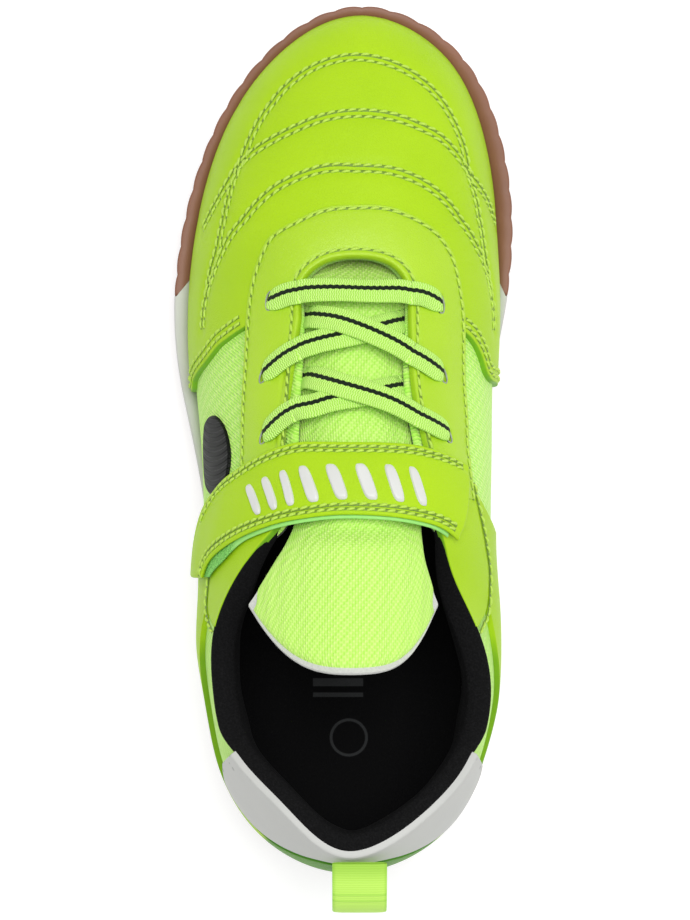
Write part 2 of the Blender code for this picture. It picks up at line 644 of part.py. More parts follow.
def tongue_top():
    """Rows of nine points across the tongue's upper face, from its hidden front end."""
    w = np.linspace(-1.0, 1.0, 9)
    rows = []
    for share, half, puff in TONGUE_UNDER:
        s = half * w
        bulge = TONGUE_PUFF * puff / 100.0 * np.clip(1.0 - (1.25 * s / BRIDGE) ** 2, 0.0, 1.0)
        rows.append(over_layer(station(share), s, SHELL_IN - GAP + bulge))
    tucked = []
    for narrow, ahead, up in TONGUE_TUCK:
        tucked.append(rows[0] * np.array([narrow, 1.0, 1.0]) + np.array([0.0, ahead, up]))
    free = []
    for place, lat, med, middle, corner, arc in TONGUE_FREE:
        half = np.where(w < 0, lat, med) / 100.0 * BALL_WIDTH
        y = along(place / 100.0) - TONGUE_ARC * arc / 100.0 * (1.0 - np.abs(w) ** 3.5)
        z = INSTEP_HEIGHT + (middle - (middle - corner) * w ** 2) / 100.0 * TONGUE_RISE
        free.append(np.column_stack([half * w, y, z]))
    return np.array(tucked + rows + free)


def build_tongue():
    top = tongue_top()
    across = np.gradient(top, axis=1)
    down = unit(np.cross(across, np.gradient(top, axis=0)))
    down *= np.where(down[..., 2:] > 0, -1.0, 1.0)
    edge = np.array([0.35, 0.85, 1, 1, 1, 1, 1, 0.85, 0.35])
    length = np.ones(len(top))
    length[[0, -1]] = 0.4
    thick = TONGUE_THICKNESS * edge[None, :] * length[:, None]
    slab("tongue", top, top + down * thick[..., None], MESH)


# Instep strap from its sewn inner end to its free outer end: share of the sole's length
# and s on the closed-over skin for its front and rear edges. It lies on the eyestay and
# comes down to the collar panel between STRAP_DOWN and STRAP_LOW.
STRAP = (
    (0.462, 0.405, 0.371, 0.290), (0.480, 0.352, 0.384, 0.250), (0.495, 0.260, 0.396, 0.195),
    (0.501, 0.110, 0.409, 0.080), (0.502, -0.050, 0.410, -0.060), (0.500, -0.220, 0.396, -0.185),
    (0.486, -0.340, 0.384, -0.262), (0.466, -0.440, 0.373, -0.330), (0.444, -0.535, 0.361, -0.395),
    (0.418, -0.607, 0.349, -0.452), (0.380, -0.655, 0.336, -0.488), (0.332, -0.685, 0.324, -0.500),
)
STRAP_DOWN = 0.46
STRAP_LOW = 0.56


def strap_face(offset, narrow, short):
    """Strap rows over the skin, narrowed at both edges and cut short at both ends."""
    path = through(STRAP, 23)
    w = np.array([narrow, 0.25, 0.5, 0.75, 1.0 - narrow])[None, :]
    path = path[short:len(path) - short]
    share = path[:, 0:1] + (path[:, 2:3] - path[:, 0:1]) * w
    s = path[:, 1:2] + (path[:, 3:4] - path[:, 1:2]) * w
    step = (EYESTAY_LEATHER - LEATHER) * (1.0 - smooth(-s, STRAP_DOWN, STRAP_LOW))
    return over_layer(station(share), s, offset + step)


def build_strap():
    upper_face = strap_face(GAP + STRAP_LINING, STRAP_LINING_INSET, 1)
    slab("strap_lining", upper_face, strap_face(GAP, STRAP_LINING_INSET, 1), HOOK_GREEN)
    low = 2.0 * GAP + STRAP_LINING
    slab("strap", strap_face(low + STRAP_THICKNESS, 0.0, 0), strap_face(low, 0.0, 0), SYNTHETIC)


# Elastic lace bands: share of the sole's length, s, and height over their seat in
# hundredths of LACE_THICKNESS
LACE_BAR = ((0.676, -0.335, 0), (0.720, -0.210, 0), (0.752, -0.040, 0), (0.733, 0.150, 0),
            (0.703, 0.262, 0), (0.670, 0.340, 0))
LACE_PAIRS = (
    (((0.663, -0.205, -190), (0.654, -0.040, 10), (0.623, 0.130, 30), (0.602, 0.250, 15), (0.577, 0.352, 0)),
     ((0.654, 0.200, -190), (0.645, 0.110, -90), (0.632, -0.020, -75), (0.619, -0.160, -40),
      (0.605, -0.255, 0), (0.577, -0.345, 0))),
    (((0.577, -0.205, -190), (0.567, -0.030, 10), (0.551, 0.110, 30), (0.535, 0.220, 15), (0.509, 0.345, 0)),
     ((0.567, 0.205, -190), (0.563, 0.105, -90), (0.553, -0.055, -75), (0.544, -0.155, -40),
      (0.535, -0.250, 0), (0.509, -0.338, 0))),
)


def ribbon(name, centre, normal, width, thickness, finish):
    """Flat band along a line of centre points, with its thickness along the normals."""
    ahead = unit(np.gradient(centre, axis=0))
    side = unit(np.cross(normal, ahead)) * width / 2.0
    up = unit(np.cross(ahead, side)) * thickness / 2.0
    outline = ((-1, -0.4), (-0.9, 1), (0.9, 1), (1, -0.4), (0.9, -1), (-0.9, -1))
    corners = [centre + side * a + up * b for a, b in outline]
    return open_band(name, np.stack(corners, axis=1), finish)


def lace_band(name, rows):
    path = through(rows, 3 * len(rows) - 2)
    seat = EYESTAY_LEATHER - LEATHER + GAP + 0.5 * LACE_THICKNESS
    t, s = station(path[:, 0]), path[:, 1]
    centre = over_layer(t, s, seat + path[:, 2] / 100.0 * LACE_THICKNESS)
    return ribbon(name, centre, over_normal(t, s), LACE_WIDTH, LACE_THICKNESS, LACE_GREEN)


def build_laces():
    lace_band("lace_bar", LACE_BAR)
    for name, (upper_band, lower_band) in zip(("lace_cross_front", "lace_cross_rear"), LACE_PAIRS):
        crossed = lace_band(name, upper_band)
        cut(crossed, lace_band(name + "_under", lower_band), "UNION")


def build_pull_loop():
    """Ribbon sewn on the heel patch at two heights, standing back from the heel."""
    u = np.linspace(0.0, 1.0, 15)
    seat = 0.5 * LOOP_THICKNESS + GAP
    top, low = (layer(np.array(0.0), np.array(v), seat) for v in (0.93, 0.60))
    back = LOOP_REACH * (1.0 - np.abs(2.0 * u - 1.0) ** 2.8)
    centre = top + (low - top) * u[:, None] + np.array([0.0, -1.0, 0.0]) * back[:, None]
    centre[:, 0] = LOOP_SIDE
    ahead = np.gradient(centre, axis=0)
    normal = np.cross(ahead, np.array([1.0, 0.0, 0.0]))
    ribbon("pull_loop", centre, unit(normal), LOOP_WIDTH, LOOP_THICKNESS, RIBBON_GREEN)


def build():
    build_sole()
    build_insole()
    build_upper()
    build_vamp()
    build_eyestay()
    build_rear_overlays()
    build_collar_pad()
    build_tongue()
    build_strap()
    build_laces()
    build_pull_loop()


for old in list(bpy.data.objects):
    bpy.data.objects.remove(old, do_unlink=True)
build()
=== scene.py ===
"""Child's indoor court shoe for the left foot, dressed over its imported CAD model.

Metres, +Z up, +Y to the toe, +X to the inner side of the foot, origin on the floor
under the middle of the heel. Every piece of the upper is laid on one surface,
skin(t, v): t runs round the shoe from the heel (0) along the outer side to the toe
(0.5) and back along the inner side (1), v runs up from the sole (0) to the collar (1).
"""

import bpy
import numpy as np
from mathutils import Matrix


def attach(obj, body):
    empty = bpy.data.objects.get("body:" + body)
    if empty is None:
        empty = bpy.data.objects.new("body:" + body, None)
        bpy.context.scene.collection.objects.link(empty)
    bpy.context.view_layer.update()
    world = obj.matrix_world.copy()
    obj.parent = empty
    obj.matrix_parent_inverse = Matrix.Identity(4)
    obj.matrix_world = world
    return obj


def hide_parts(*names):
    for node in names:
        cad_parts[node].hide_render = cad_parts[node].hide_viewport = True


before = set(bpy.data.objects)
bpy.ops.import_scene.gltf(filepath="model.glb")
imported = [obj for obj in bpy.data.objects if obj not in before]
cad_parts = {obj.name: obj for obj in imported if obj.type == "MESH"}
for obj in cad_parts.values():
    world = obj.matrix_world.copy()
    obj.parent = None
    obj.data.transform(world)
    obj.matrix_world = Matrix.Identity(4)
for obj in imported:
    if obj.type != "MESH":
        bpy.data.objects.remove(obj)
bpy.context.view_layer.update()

# Studio
# The shoe stands on a plain pale floor that glows a little, under one large soft box,
# with a fill from each side and the rear. The camera looks straight down from 0.9 m.
CAMERA_HEIGHT = 0.900
CAMERA_PLACE = (-0.00126, 0.069)
LENS_IN_PIXELS = 3500.0
FRAME_HEIGHT = 920.0
SENSOR = 24.0

camera = bpy.data.objects.new("camera", bpy.data.cameras.new("camera"))
bpy.context.collection.objects.link(camera)
camera.location = (*CAMERA_PLACE, CAMERA_HEIGHT)
camera.data.sensor_fit = "VERTICAL"
camera.data.sensor_height = SENSOR
camera.data.lens = SENSOR * LENS_IN_PIXELS / FRAME_HEIGHT
camera.data.clip_start = 0.01
bpy.context.scene.camera = camera
bpy.context.scene.view_settings.view_transform = "Standard"


def soft_box(name, place, turn, size, power):
    """Square area light of a size, at a place, turned by Euler angles in degrees."""
    lamp = bpy.data.lights.new(name, "AREA")
    lamp.shape = "SQUARE"
    lamp.size = size
    lamp.energy = power
    made = bpy.data.objects.new(name, lamp)
    made.location = place
    made.rotation_euler = np.radians(turn)
    bpy.context.collection.objects.link(made)


soft_box("top_box", (0.10, 0.35, 1.30), (-12, 5, 0), 0.8, 13.0)
soft_box("outer_fill", (-1.1, 0.1, 0.7), (0, -62, 0), 0.9, 0.5)
soft_box("inner_fill", (1.1, 0.1, 0.7), (0, 62, 0), 0.9, 1.8)
soft_box("rear_fill", (0.0, -1.1, 0.8), (55, 0, 0), 0.9, 1.4)

world = bpy.data.worlds.new("studio")
bpy.context.scene.world = world
world.use_nodes = True
background = world.node_tree.nodes["Background"]
background.inputs["Color"].default_value = (1.0, 1.0, 1.0, 1.0)
background.inputs["Strength"].default_value = 0.47


class Field:
    """A value on its way through a material: sums and products of it add Math nodes."""

    def __init__(self, tree, socket=None):
        self.tree = tree
        self.socket = socket

    def node(self, kind, settings, inputs, output=0):
        """Adds a shader node: its settings first, then the values or links of its sockets."""
        made = self.tree.nodes.new("ShaderNode" + kind)
        for name, value in settings.items():
            setattr(made, name, value)
        for key, value in inputs.items():
            if isinstance(value, Field):
                self.tree.links.new(value.socket, made.inputs[key])
            else:
                made.inputs[key].default_value = value
        return Field(self.tree, made.outputs[output])

    def math(self, operation, first, second=0.0):
        return self.node("Math", {"operation": operation}, {0: first, 1: second})

    def __add__(self, other):
        return self.math("ADD", self, other)

    def __sub__(self, other):
        return self.math("SUBTRACT", self, other)

    def __rsub__(self, other):
        return self.math("SUBTRACT", other, self)

    def __mul__(self, other):
        return self.math("MULTIPLY", self, other)

    __radd__ = __add__
    __rmul__ = __mul__

    def wave(self):
        """Sine of the value, lifted to 0 .. 1."""
        return self.math("SINE", self) * 0.5 + 0.5

    def step(self, low, high):
        """Soft step from 0 at low to 1 at high."""
        return self.node("MapRange", {"interpolation_type": "SMOOTHSTEP"},
                         {"Value": self, "From Min": low, "From Max": high})

    def blend(self, low, high):
        """Colour that goes from low to high with the value."""
        colors = [c if isinstance(c, Field) else (*c, 1.0) for c in (low, high)]
        return self.node("Mix", {"data_type": "RGBA"}, {0: self, 6: colors[0], 7: colors[1]}, 2)

    def noise(self, scale, detail=2.0):
        """Cloud noise of 0 .. 1, with scale features to the metre."""
        return self.node("TexNoise", {}, {"Vector": self.place(), "Scale": scale, "Detail": detail})

    def cells(self, scale, feature="F1"):
        """Distance to the nearest scattered point or cell edge, scale points to the metre."""
        return self.node("TexVoronoi", {"feature": feature}, {"Vector": self.place(), "Scale": scale})

    def place(self):
        """Object coordinates, in metres."""
        return self.node("TexCoord", {}, {}, "Object")

    def chart(self, axis):
        """One part of the piece's own attribute: run along, run across, or mask."""
        made = self.node("Attribute", {"attribute_name": "chart"}, {}, "Vector")
        return self.node("SeparateXYZ", {}, {0: made}, axis)


def finish(name, look, **fixed):
    """Material whose look(field) gives what varies: Base Color, Roughness and Height.

    Height is in millimetres and feeds a Bump node. The fixed values go straight onto
    the shader's own sockets, with _ for each space in their names.
    """
    made = bpy.data.materials.new(name)
    made.use_nodes = True
    tree = made.node_tree
    shader = tree.nodes["Principled BSDF"]
    for key, value in fixed.items():
        shader.inputs[key.replace("_", " ")].default_value = value
    field = Field(tree)
    varied = look(field)
    height = varied.pop("Height", None)
    if height is not None:
        varied["Normal"] = field.node("Bump", {}, {"Strength": 1.0, "Distance": 0.001, "Height": height})
    for key, value in varied.items():
        tree.links.new(value.socket, shader.inputs[key])
    return made


def paper_look(field):
    return {"Base Color": field.noise(3.0).blend((0.55, 0.55, 0.55), (0.58, 0.58, 0.58)),
            "Roughness": field.noise(6.0) * 0.05 + 0.6}


floor_mesh = bpy.data.meshes.new("floor")
floor_mesh.from_pydata([(-3, -3, 0), (3, -3, 0), (3, 3, 0), (-3, 3, 0)], [], [(0, 1, 2, 3)])
paper = finish("studio_paper", paper_look, Emission_Color=(1, 1, 1, 1), Emission_Strength=0.55)
floor_mesh.materials.append(paper)
floor = bpy.data.objects.new("floor", floor_mesh)
bpy.context.collection.objects.link(floor)

# Sole
# A cup sole in two materials: gum rubber with a scalloped edge, drawn up round the toe
# and thin behind it, and a white foam wedge moulded onto it from the heel to the ball.
# Its rim holds the upper all round; under it lie bowed grooves in a herringbone tread.
SOLE_LENGTH = 0.215
BALL_WIDTH = 0.085
INSTEP_HEIGHT = 0.074
HEEL_HEIGHT = 0.076
HEEL_SEAT = 0.032
HEEL_STACK = 0.0165
BALL_STACK = 0.0095
OUTSOLE_THICKNESS = 0.005
TOE_SPRING = 0.009
HEEL_BEVEL = 0.003
ARCH_RISE = 0.0012
RIM_HEIGHT = 0.0035
RIM_WIDTH = 0.0012
SOLE_EDGE_BEVEL = 0.0018
SCALLOP_PITCH = 0.0072
SCALLOP_DEPTH = 0.0004
GROOVE_DEPTH = 0.0014
GROOVE_WIDTH = 0.0022
GROOVE_PITCH = 0.0095
GROOVE_BOW = 0.006
HEEL_GROOVES = (0, 1, 5, 6)
BALL_GROOVES = (-1, 0, 3, 4, 5, 6, 7)
OUTLINE_LENGTH = 0.505
THIN_FOAM = 0.0011
FOAM_TIP = 1.028
GAP = 0.0003

# Sections from heel to toe. The _y columns are hundredths of SOLE_LENGTH, of_heel and
# of_instep hundredths of HEEL_HEIGHT and INSTEP_HEIGHT, rise and drop hundredths of the
# rib's own height, and the others hundredths of BALL_WIDTH.
RIB_COLUMNS = ("sole_y", "sole_lat", "sole_med", "inset_lat", "inset_med",
               "top_y", "top_lat", "top_med", "of_heel", "of_instep",
               "rise", "swell_lat", "swell_med", "roll_lat", "roll_med", "drop")
RIBS = (
    (0.0, 0.0, 0.0, 3.5, 3.5, 3.5, 0.0, 0.0, 100, 0.0, 30, 8.4, 8.4, 7.6, 7.6, 34),
    (4.0, 26.6, 25.9, 3.5, 3.5, 9.1, 20.6, 25.1, 95.4, 0.0, 30, 8.4, 7.6, 10.6, 10.6, 34),
    (11.6, 38.0, 36.8, 3.5, 3.5, 15.3, 34.7, 36.5, 85.0, 0.0, 30, 7.1, 7.1, 5.9, 7.1, 34),
    (18.6, 40.4, 39.4, 3.5, 3.5, 21.9, 38.6, 39.4, 50.0, 29.6, 30, 8.2, 10.6, 5.9, 6.5, 34),
    (25.1, 40.7, 38.6, 3.5, 3.5, 28.4, 37.9, 35.3, 20.0, 61.9, 30, 12.4, 14.9, 8.8, 10.6, 34),
    (30.7, 40.9, 37.2, 3.6, 3.6, 34.0, 31.8, 28.7, 0.0, 90.3, 28, 13.5, 17.1, 12.4, 16.5, 30),
    (36.3, 41.5, 36.7, 3.8, 3.8, 38.1, 24.1, 25.8, 0.0, 97.3, 25, 14.7, 16.5, 16.5, 17.6, 24),
    (42.3, 43.5, 37.4, 4.0, 4.0, 41.6, 17.6, 23.3, 0.0, 98.6, 22, 13.5, 17.6, 20.0, 17.6, 20),
    (49.3, 46.8, 39.5, 4.2, 4.1, 47.9, 16.2, 20.0, 0.0, 92.2, 22, 10.0, 17.1, 20.0, 18.8, 20),
    (56.7, 50.7, 42.4, 4.7, 4.4, 55.3, 15.2, 16.7, 0.0, 84.3, 22, 6.5, 14.1, 22.4, 21.2, 20),
    (65.1, 52.4, 46.5, 5.1, 4.9, 62.6, 14.2, 16.7, 0.0, 76.5, 24, 4.7, 8.2, 23.5, 23.5, 20),
    (73.0, 50.5, 48.5, 4.7, 5.2, 66.3, 14.0, 16.2, 0.0, 72.7, 28, 3.5, 2.9, 23.5, 23.5, 20),
    (81.4, 45.1, 46.9, 4.0, 5.2, 68.3, 10.9, 13.6, 0.0, 71.6, 32, 3.5, 1.8, 25.9, 25.9, 20),
    (88.8, 36.4, 41.6, 3.5, 4.9, 69.3, 6.8, 9.9, 0.0, 71.2, 36, 4.1, 2.9, 30.6, 30.6, 22),
    (95.1, 23.6, 31.3, 3.4, 4.2, 69.7, 2.8, 6.1, 0.0, 70.9, 42, 4.7, 4.1, 34.1, 34.1, 24),
    (100.0, -3.5, 3.5, 3.2, 3.2, 69.8, -1.6, 1.6, 0.0, 70.9, 48, 4.7, 4.7, 35.3, 35.3, 26),
)
UP = np.array([0.0, 0.0, 1.0])


def smooth(x, low, high):
    """Rises from 0 at low to 1 at high with level ends: 3s^2 - 2s^3."""
    s = np.clip((x - low) / (high - low), 0.0, 1.0)
    return s * s * (3.0 - 2.0 * s)


def eased(count):
    """Shares from 0 to 1 that lie closest together at both ends: half of 1 - cos."""
    return 0.5 * (1.0 - np.cos(np.linspace(0.0, np.pi, count)))


def column(name):
    return np.array([row[RIB_COLUMNS.index(name)] for row in RIBS]) / 100.0


def unit(vectors):
    return vectors / np.maximum(np.linalg.norm(vectors, axis=-1, keepdims=True), 1e-12)


def along(share):
    """World y of a place given as a share of the sole's length from its rear end."""
    return share * SOLE_LENGTH - HEEL_SEAT


def share_of(y):
    return (y + HEEL_SEAT) / SOLE_LENGTH


def ground(y):
    """Height of the tread: flat, with toe spring, a heel bevel and a slight arch."""
    share = share_of(y)
    toe = TOE_SPRING * np.clip((share - 0.70) / 0.30, 0.0, 1.0) ** 1.9
    heel = HEEL_BEVEL * np.clip((0.042 - share) / 0.042, 0.0, 1.0) ** 2
    return toe + heel + ARCH_RISE * smooth(share, 0.30, 0.37) * (1.0 - smooth(share, 0.47, 0.54))


def bed(y):
    """Height of the sole's upper face under the insole."""
    share = share_of(y)
    toe = TOE_SPRING * np.clip((share - 0.70) / 0.30, 0.0, 1.0) ** 1.9
    return toe + HEEL_STACK + (BALL_STACK - HEEL_STACK) * smooth(share, 0.25, 0.63)


def side_values(side):
    """The rib table's lengths in metres for the outer side (-1) or the inner side (1)."""
    tag = "_lat" if side < 0 else "_med"
    return np.column_stack([
        side * column("sole" + tag) * BALL_WIDTH, along(column("sole_y")),
        side * column("top" + tag) * BALL_WIDTH, along(column("top_y")),
        column("of_heel") * HEEL_HEIGHT + column("of_instep") * INSTEP_HEIGHT,
        column("inset" + tag) * BALL_WIDTH, column("rise"),
        column("swell" + tag) * BALL_WIDTH, column("roll" + tag) * BALL_WIDTH, column("drop"),
    ])


def ring_spline():
    """Closed cubic spline through the sections of both sides, as a function of t."""
    outer, inner = side_values(-1), side_values(1)
    knots = np.vstack([outer, inner[-2:0:-1]])
    steps = [np.hypot(*np.diff(side[:, :2], axis=0).T) for side in (outer, inner)]
    run = np.concatenate([[0.0], np.cumsum(steps[0] + steps[1])])
    half = 0.5 * run / run[-1]
    t = np.concatenate([half, 1.0 - half[-2:0:-1]])
    count = len(t)
    gap = np.diff(np.append(t, 1.0))
    before = np.roll(gap, 1)
    matrix = np.zeros((count, count))
    index = np.arange(count)
    matrix[index, index] = 2.0 * (gap + before)
    matrix[index, (index - 1) % count] += before
    matrix[index, (index + 1) % count] += gap
    ahead = (np.roll(knots, -1, 0) - knots) / gap[:, None]
    behind = (knots - np.roll(knots, 1, 0)) / before[:, None]
    return t, knots, np.linalg.solve(matrix, 6.0 * (ahead - behind)), gap, half


RING_T, RING_KNOTS, RING_BEND, RING_GAP, HALF_T = ring_spline()


def ring(t):
    """The rib values at t."""
    t = np.asarray(t, float) % 1.0
    low = np.clip(np.searchsorted(RING_T, t, side="right") - 1, 0, len(RING_T) - 1)
    high = (low + 1) % len(RING_T)
    step = RING_GAP[low][..., None]
    b = (t - RING_T[low])[..., None] / step
    a = 1.0 - b
    curve = (a ** 3 - a) * RING_BEND[low] + (b ** 3 - b) * RING_BEND[high]
    return a * RING_KNOTS[low] + b * RING_KNOTS[high] + curve * step ** 2 / 6.0


def outward(t):
    """Level unit vector that points out of the sole's outline."""
    tangent = unit(ring(np.asarray(t) + 1e-4)[..., :2] - ring(np.asarray(t) - 1e-4)[..., :2])
    return np.stack([-tangent[..., 1], tangent[..., 0], np.zeros(tangent.shape[:-1])], -1)


def station(share):
    """t on the outer side where the sole's outline passes this share of its length."""
    return np.interp(share, column("sole_y"), HALF_T)


def skin(t, v):
    """Outer face of the shoe's overlays: a cubic Bezier rib for each t.

    Each rib starts upright on the sole, leans out by its swell and comes in to the
    collar or throat edge with its roll, falling away from that edge by its drop.
    """
    t, v = np.broadcast_arrays(np.asarray(t, float), np.asarray(v, float))
    values = ring(t)
    out = outward(t)
    foot = np.concatenate([values[..., :2], np.zeros(values.shape[:-1] + (1,))], -1)
    foot = foot - out * values[..., 5:6]
    foot[..., 2] = bed(foot[..., 1]) + GAP
    edge = values[..., 2:5]
    height = (edge[..., 2] - foot[..., 2])[..., None]
    low = foot + out * values[..., 7:8] + UP * values[..., 6:7] * height
    level = unit((foot - edge) * np.array([1.0, 1.0, 0.0]) + out * 0.008)
    high = edge + level * values[..., 8:9] - UP * values[..., 9:10] * height
    v = v[..., None]
    w = 1.0 - v
    return w ** 3 * foot + 3 * w * w * v * low + 3 * w * v * v * high + v ** 3 * edge


def rim_share(t):
    """v up to which the rim backs the upper: its height, or where the upper leans out."""
    v = np.linspace(0.0, 0.35, 71)
    grid = skin(t[:, None], v[None, :])
    rise = (grid[..., 2] - grid[:, :1, 2]) / RIM_HEIGHT
    room = ring(t)[:, 5] - RIM_WIDTH - GAP
    lean = ((grid - grid[:, :1]) * outward(t)[:, None]).sum(-1) / room[:, None]
    load = np.maximum.accumulate(np.maximum(rise, lean), axis=1)
    last = np.clip((load < 1.0).sum(1), 1, len(v) - 1)
    row = np.arange(len(t))
    part = (1.0 - load[row, last - 1]) / np.maximum(load[row, last] - load[row, last - 1], 1e-9)
    return v[last - 1] + np.clip(part, 0.0, 1.0) * (v[1] - v[0])


def parting(y):
    """Height of the joint between gum and foam, which climbs past the rim at the ball."""
    return OUTSOLE_THICKNESS + 0.015 * np.clip((share_of(y) - 0.615) / 0.10, 0.0, 2.0)


def patchwork(points, chart=None, round_u=False, round_v=False, flip=False):
    """A grid of points as (points, quads, chart), joined round in either direction."""
    rows, cols = points.shape[:2]
    i, j = np.meshgrid(np.arange(rows - (not round_u)), np.arange(cols - (not round_v)), indexing="ij")
    k, m = (i + 1) % rows, (j + 1) % cols
    quads = np.stack([i * cols + j, i * cols + m, k * cols + m, k * cols + j], -1).reshape(-1, 4)
    if chart is None:
        chart = np.zeros(points.shape)
    return points.reshape(-1, 3), quads[:, ::-1] if flip else quads, chart.reshape(-1, 3)


def piece(name, grids, *looks, pick=None):
    """One smooth object from several grids; pick gives the material number of each grid."""
    starts = np.cumsum([0] + [len(points) for points, _, _ in grids])
    points = np.concatenate([grid[0] for grid in grids]).astype(np.float32)
    quads = np.concatenate([grid[1] + start for grid, start in zip(grids, starts)]).astype(np.int32)
    mesh = bpy.data.meshes.new(name)
    mesh.vertices.add(len(points))
    mesh.vertices.foreach_set("co", points.ravel())
    mesh.loops.add(quads.size)
    mesh.loops.foreach_set("vertex_index", quads.ravel())
    mesh.polygons.add(len(quads))
    mesh.polygons.foreach_set("loop_start", np.arange(0, quads.size, 4, dtype=np.int32))
    chart = mesh.attributes.new("chart", "FLOAT_VECTOR", "POINT")
    chart.data.foreach_set("vector", np.concatenate([grid[2] for grid in grids]).astype(np.float32).ravel())
    for look in looks:
        mesh.materials.append(look)
    if pick is not None:
        numbers = np.repeat(pick, [len(grid[1]) for grid in grids]).astype(np.int32)
        mesh.polygons.foreach_set("material_index", numbers)
    mesh.update(calc_edges=True)
    mesh.shade_smooth()
    made = bpy.data.objects.new(name, mesh)
    bpy.context.collection.objects.link(made)
    return made


def chart_of(along_run, across_run, mask=0.0):
    return np.stack(np.broadcast_arrays(along_run, across_run, mask), -1).astype(float)


def sole_ring(t, inset, height):
    """Ring inside the outline by an inset, at given heights."""
    points = np.concatenate([ring(t)[:, :2], np.zeros((len(t), 1))], 1)
    points = points - outward(t) * np.broadcast_to(inset, t.shape)[:, None]
    points[:, 2] = height
    return points


def scallop(t):
    """Inset of the gum edge: shallow convex scallops with a notch between each two."""
    run = np.minimum(t, 1.0 - t)
    phase = (0.5 - run) * OUTLINE_LENGTH / SCALLOP_PITCH
    front = smooth(run, station(0.42), station(0.47))
    return SCALLOP_DEPTH * front * (1.0 - np.abs(np.sin(np.pi * phase)) ** 0.7)


def wall(t, low, high, notch, roll_low, roll_high):
    """Side wall between two heights, its lower and upper edges rolled in by a radius."""
    turn = np.linspace(0.0, np.pi / 2.0, 5)
    corner = list(zip(1 - np.sin(turn), 1 - np.cos(turn)))
    levels = [sole_ring(t, notch + roll_low * s, low + roll_low * c) for s, c in corner]
    middle = [low + roll_low + (high - roll_high - low - roll_low) * k for k in (0.25, 0.5, 0.75)]
    levels += [sole_ring(t, notch, z) for z in middle]
    levels += [sole_ring(t, notch + roll_high * c, high - roll_high * s) for s, c in corner]
    return levels


def rim_edge(t):
    """From the top of the wall to the upper and down behind it."""
    rim = skin(t, rim_share(t)) + outward(t) * 0.1 * GAP
    foot = skin(t, 0.0) - outward(t) * 0.001
    return [rim, foot]


def plate(left, right, count):
    """Grid of points between two rows of points, closest together at both rows."""
    across = eased(count)[:, None]
    return left[:, None] * (1.0 - across) + right[:, None] * across


t = np.arange(1000) / 1000.0
outline_y = ring(t)[:, 1]
rim_top = skin(t, rim_share(t))[:, 2]
joint = np.where(parting(outline_y) < rim_top - THIN_FOAM, parting(outline_y), rim_top)
gum_edge = wall(t, ground(outline_y), joint, scallop(t), SOLE_EDGE_BEVEL, 0.0004)
gum_rim = [np.where((joint == rim_top)[:, None], level, sole_ring(t, 0.004, joint - 0.0001))
           for level in rim_edge(t)]
gum_wall = np.stack(gum_edge + gum_rim, 1)

half = 0.5 * eased(421)
tread = plate(*(sole_ring(q, SOLE_EDGE_BEVEL + scallop(q), 0.0) for q in (half, 1.0 - half)), 111)
places = np.array([along(0.035) + GROOVE_PITCH * k for k in HEEL_GROOVES]
                  + [along(0.60) + GROOVE_PITCH * k for k in BALL_GROOVES])
bow = GROOVE_BOW * (tread[..., 0] / (0.62 * BALL_WIDTH)) ** 2
away = np.abs(tread[..., 1:2] + bow[..., None] - places - 0.5 * GROOVE_WIDTH).min(-1)
cut = 1.0 - smooth(away, 0.4 * GROOVE_WIDTH, 0.6 * GROOVE_WIDTH)
tread[..., 2] = ground(tread[..., 1]) + GROOVE_DEPTH * cut


def gum_look(field):
    """Warm translucent gum, cloudy, with moulding grain and a herringbone on the tread."""
    place = field.place()
    x, y, z = (field.node("SeparateXYZ", {}, {0: place}, axis) for axis in "XYZ")
    cloud = field.noise(60.0, 3.0)
    color = cloud.blend((0.190, 0.074, 0.042), (0.27, 0.112, 0.066))
    color = z.step(0.0, 0.006).blend((0.15, 0.060, 0.038), color)
    tread_lines = ((y + field.math("PINGPONG", x + 0.5, 0.004)) * 2600.0).wave().step(0.35, 0.65)
    under = 1.0 - z.step(0.0008, 0.0022)
    grain = field.noise(1400.0, 2.0) * 0.03
    return {"Base Color": color, "Roughness": cloud * 0.15 + 0.42,
            "Height": tread_lines * under * 0.35 + grain}


def foam_look(field):
    """Off-white moulded foam, slightly greyed, with a fine pebble skin."""
    cloud = field.noise(45.0, 3.0)
    return {"Base Color": cloud.blend((0.50, 0.50, 0.475), (0.60, 0.60, 0.575)),
            "Roughness": cloud * 0.1 + 0.55, "Height": field.noise(1800.0, 2.0) * 0.03}


gum = finish("gum_rubber", gum_look, Specular_IOR_Level=0.45)
gum_grids = [patchwork(gum_wall, round_u=True, flip=True), patchwork(tread, flip=True)]
outsole = piece("court_outsole", gum_grids, gum)
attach(outsole, "root")
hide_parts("outsole")

foam_t = t[joint < rim_top]
t = np.linspace(foam_t[foam_t > 0.5].min() - 1.0, foam_t[foam_t < 0.5].max(), 640)
outline_y = ring(t)[:, 1]
rim_top = skin(t, rim_share(t))[:, 2]
foam_low = parting(outline_y) + 0.0001
foam_edge = wall(t, foam_low, rim_top + 0.0001, np.zeros_like(t), 0.0004, 0.0005)
foam_edge += [level + UP * 0.0001 for level in rim_edge(t * FOAM_TIP)]
foam = finish("white_foam", foam_look)
midsole = piece("foam_midsole", [patchwork(np.stack(foam_edge, 1), flip=True)], foam)
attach(midsole, "root")
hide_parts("midsole")

# Insole
# A sock of black brushed cloth on thin foam, laid on the bed of the sole, with a plain
# ring and three short bars printed faintly on its heel.
INSOLE_THICKNESS = 0.003
INSOLE_CUP = 0.0022
INSOLE_TUCK = 0.0008
SHELL_IN = -0.0034

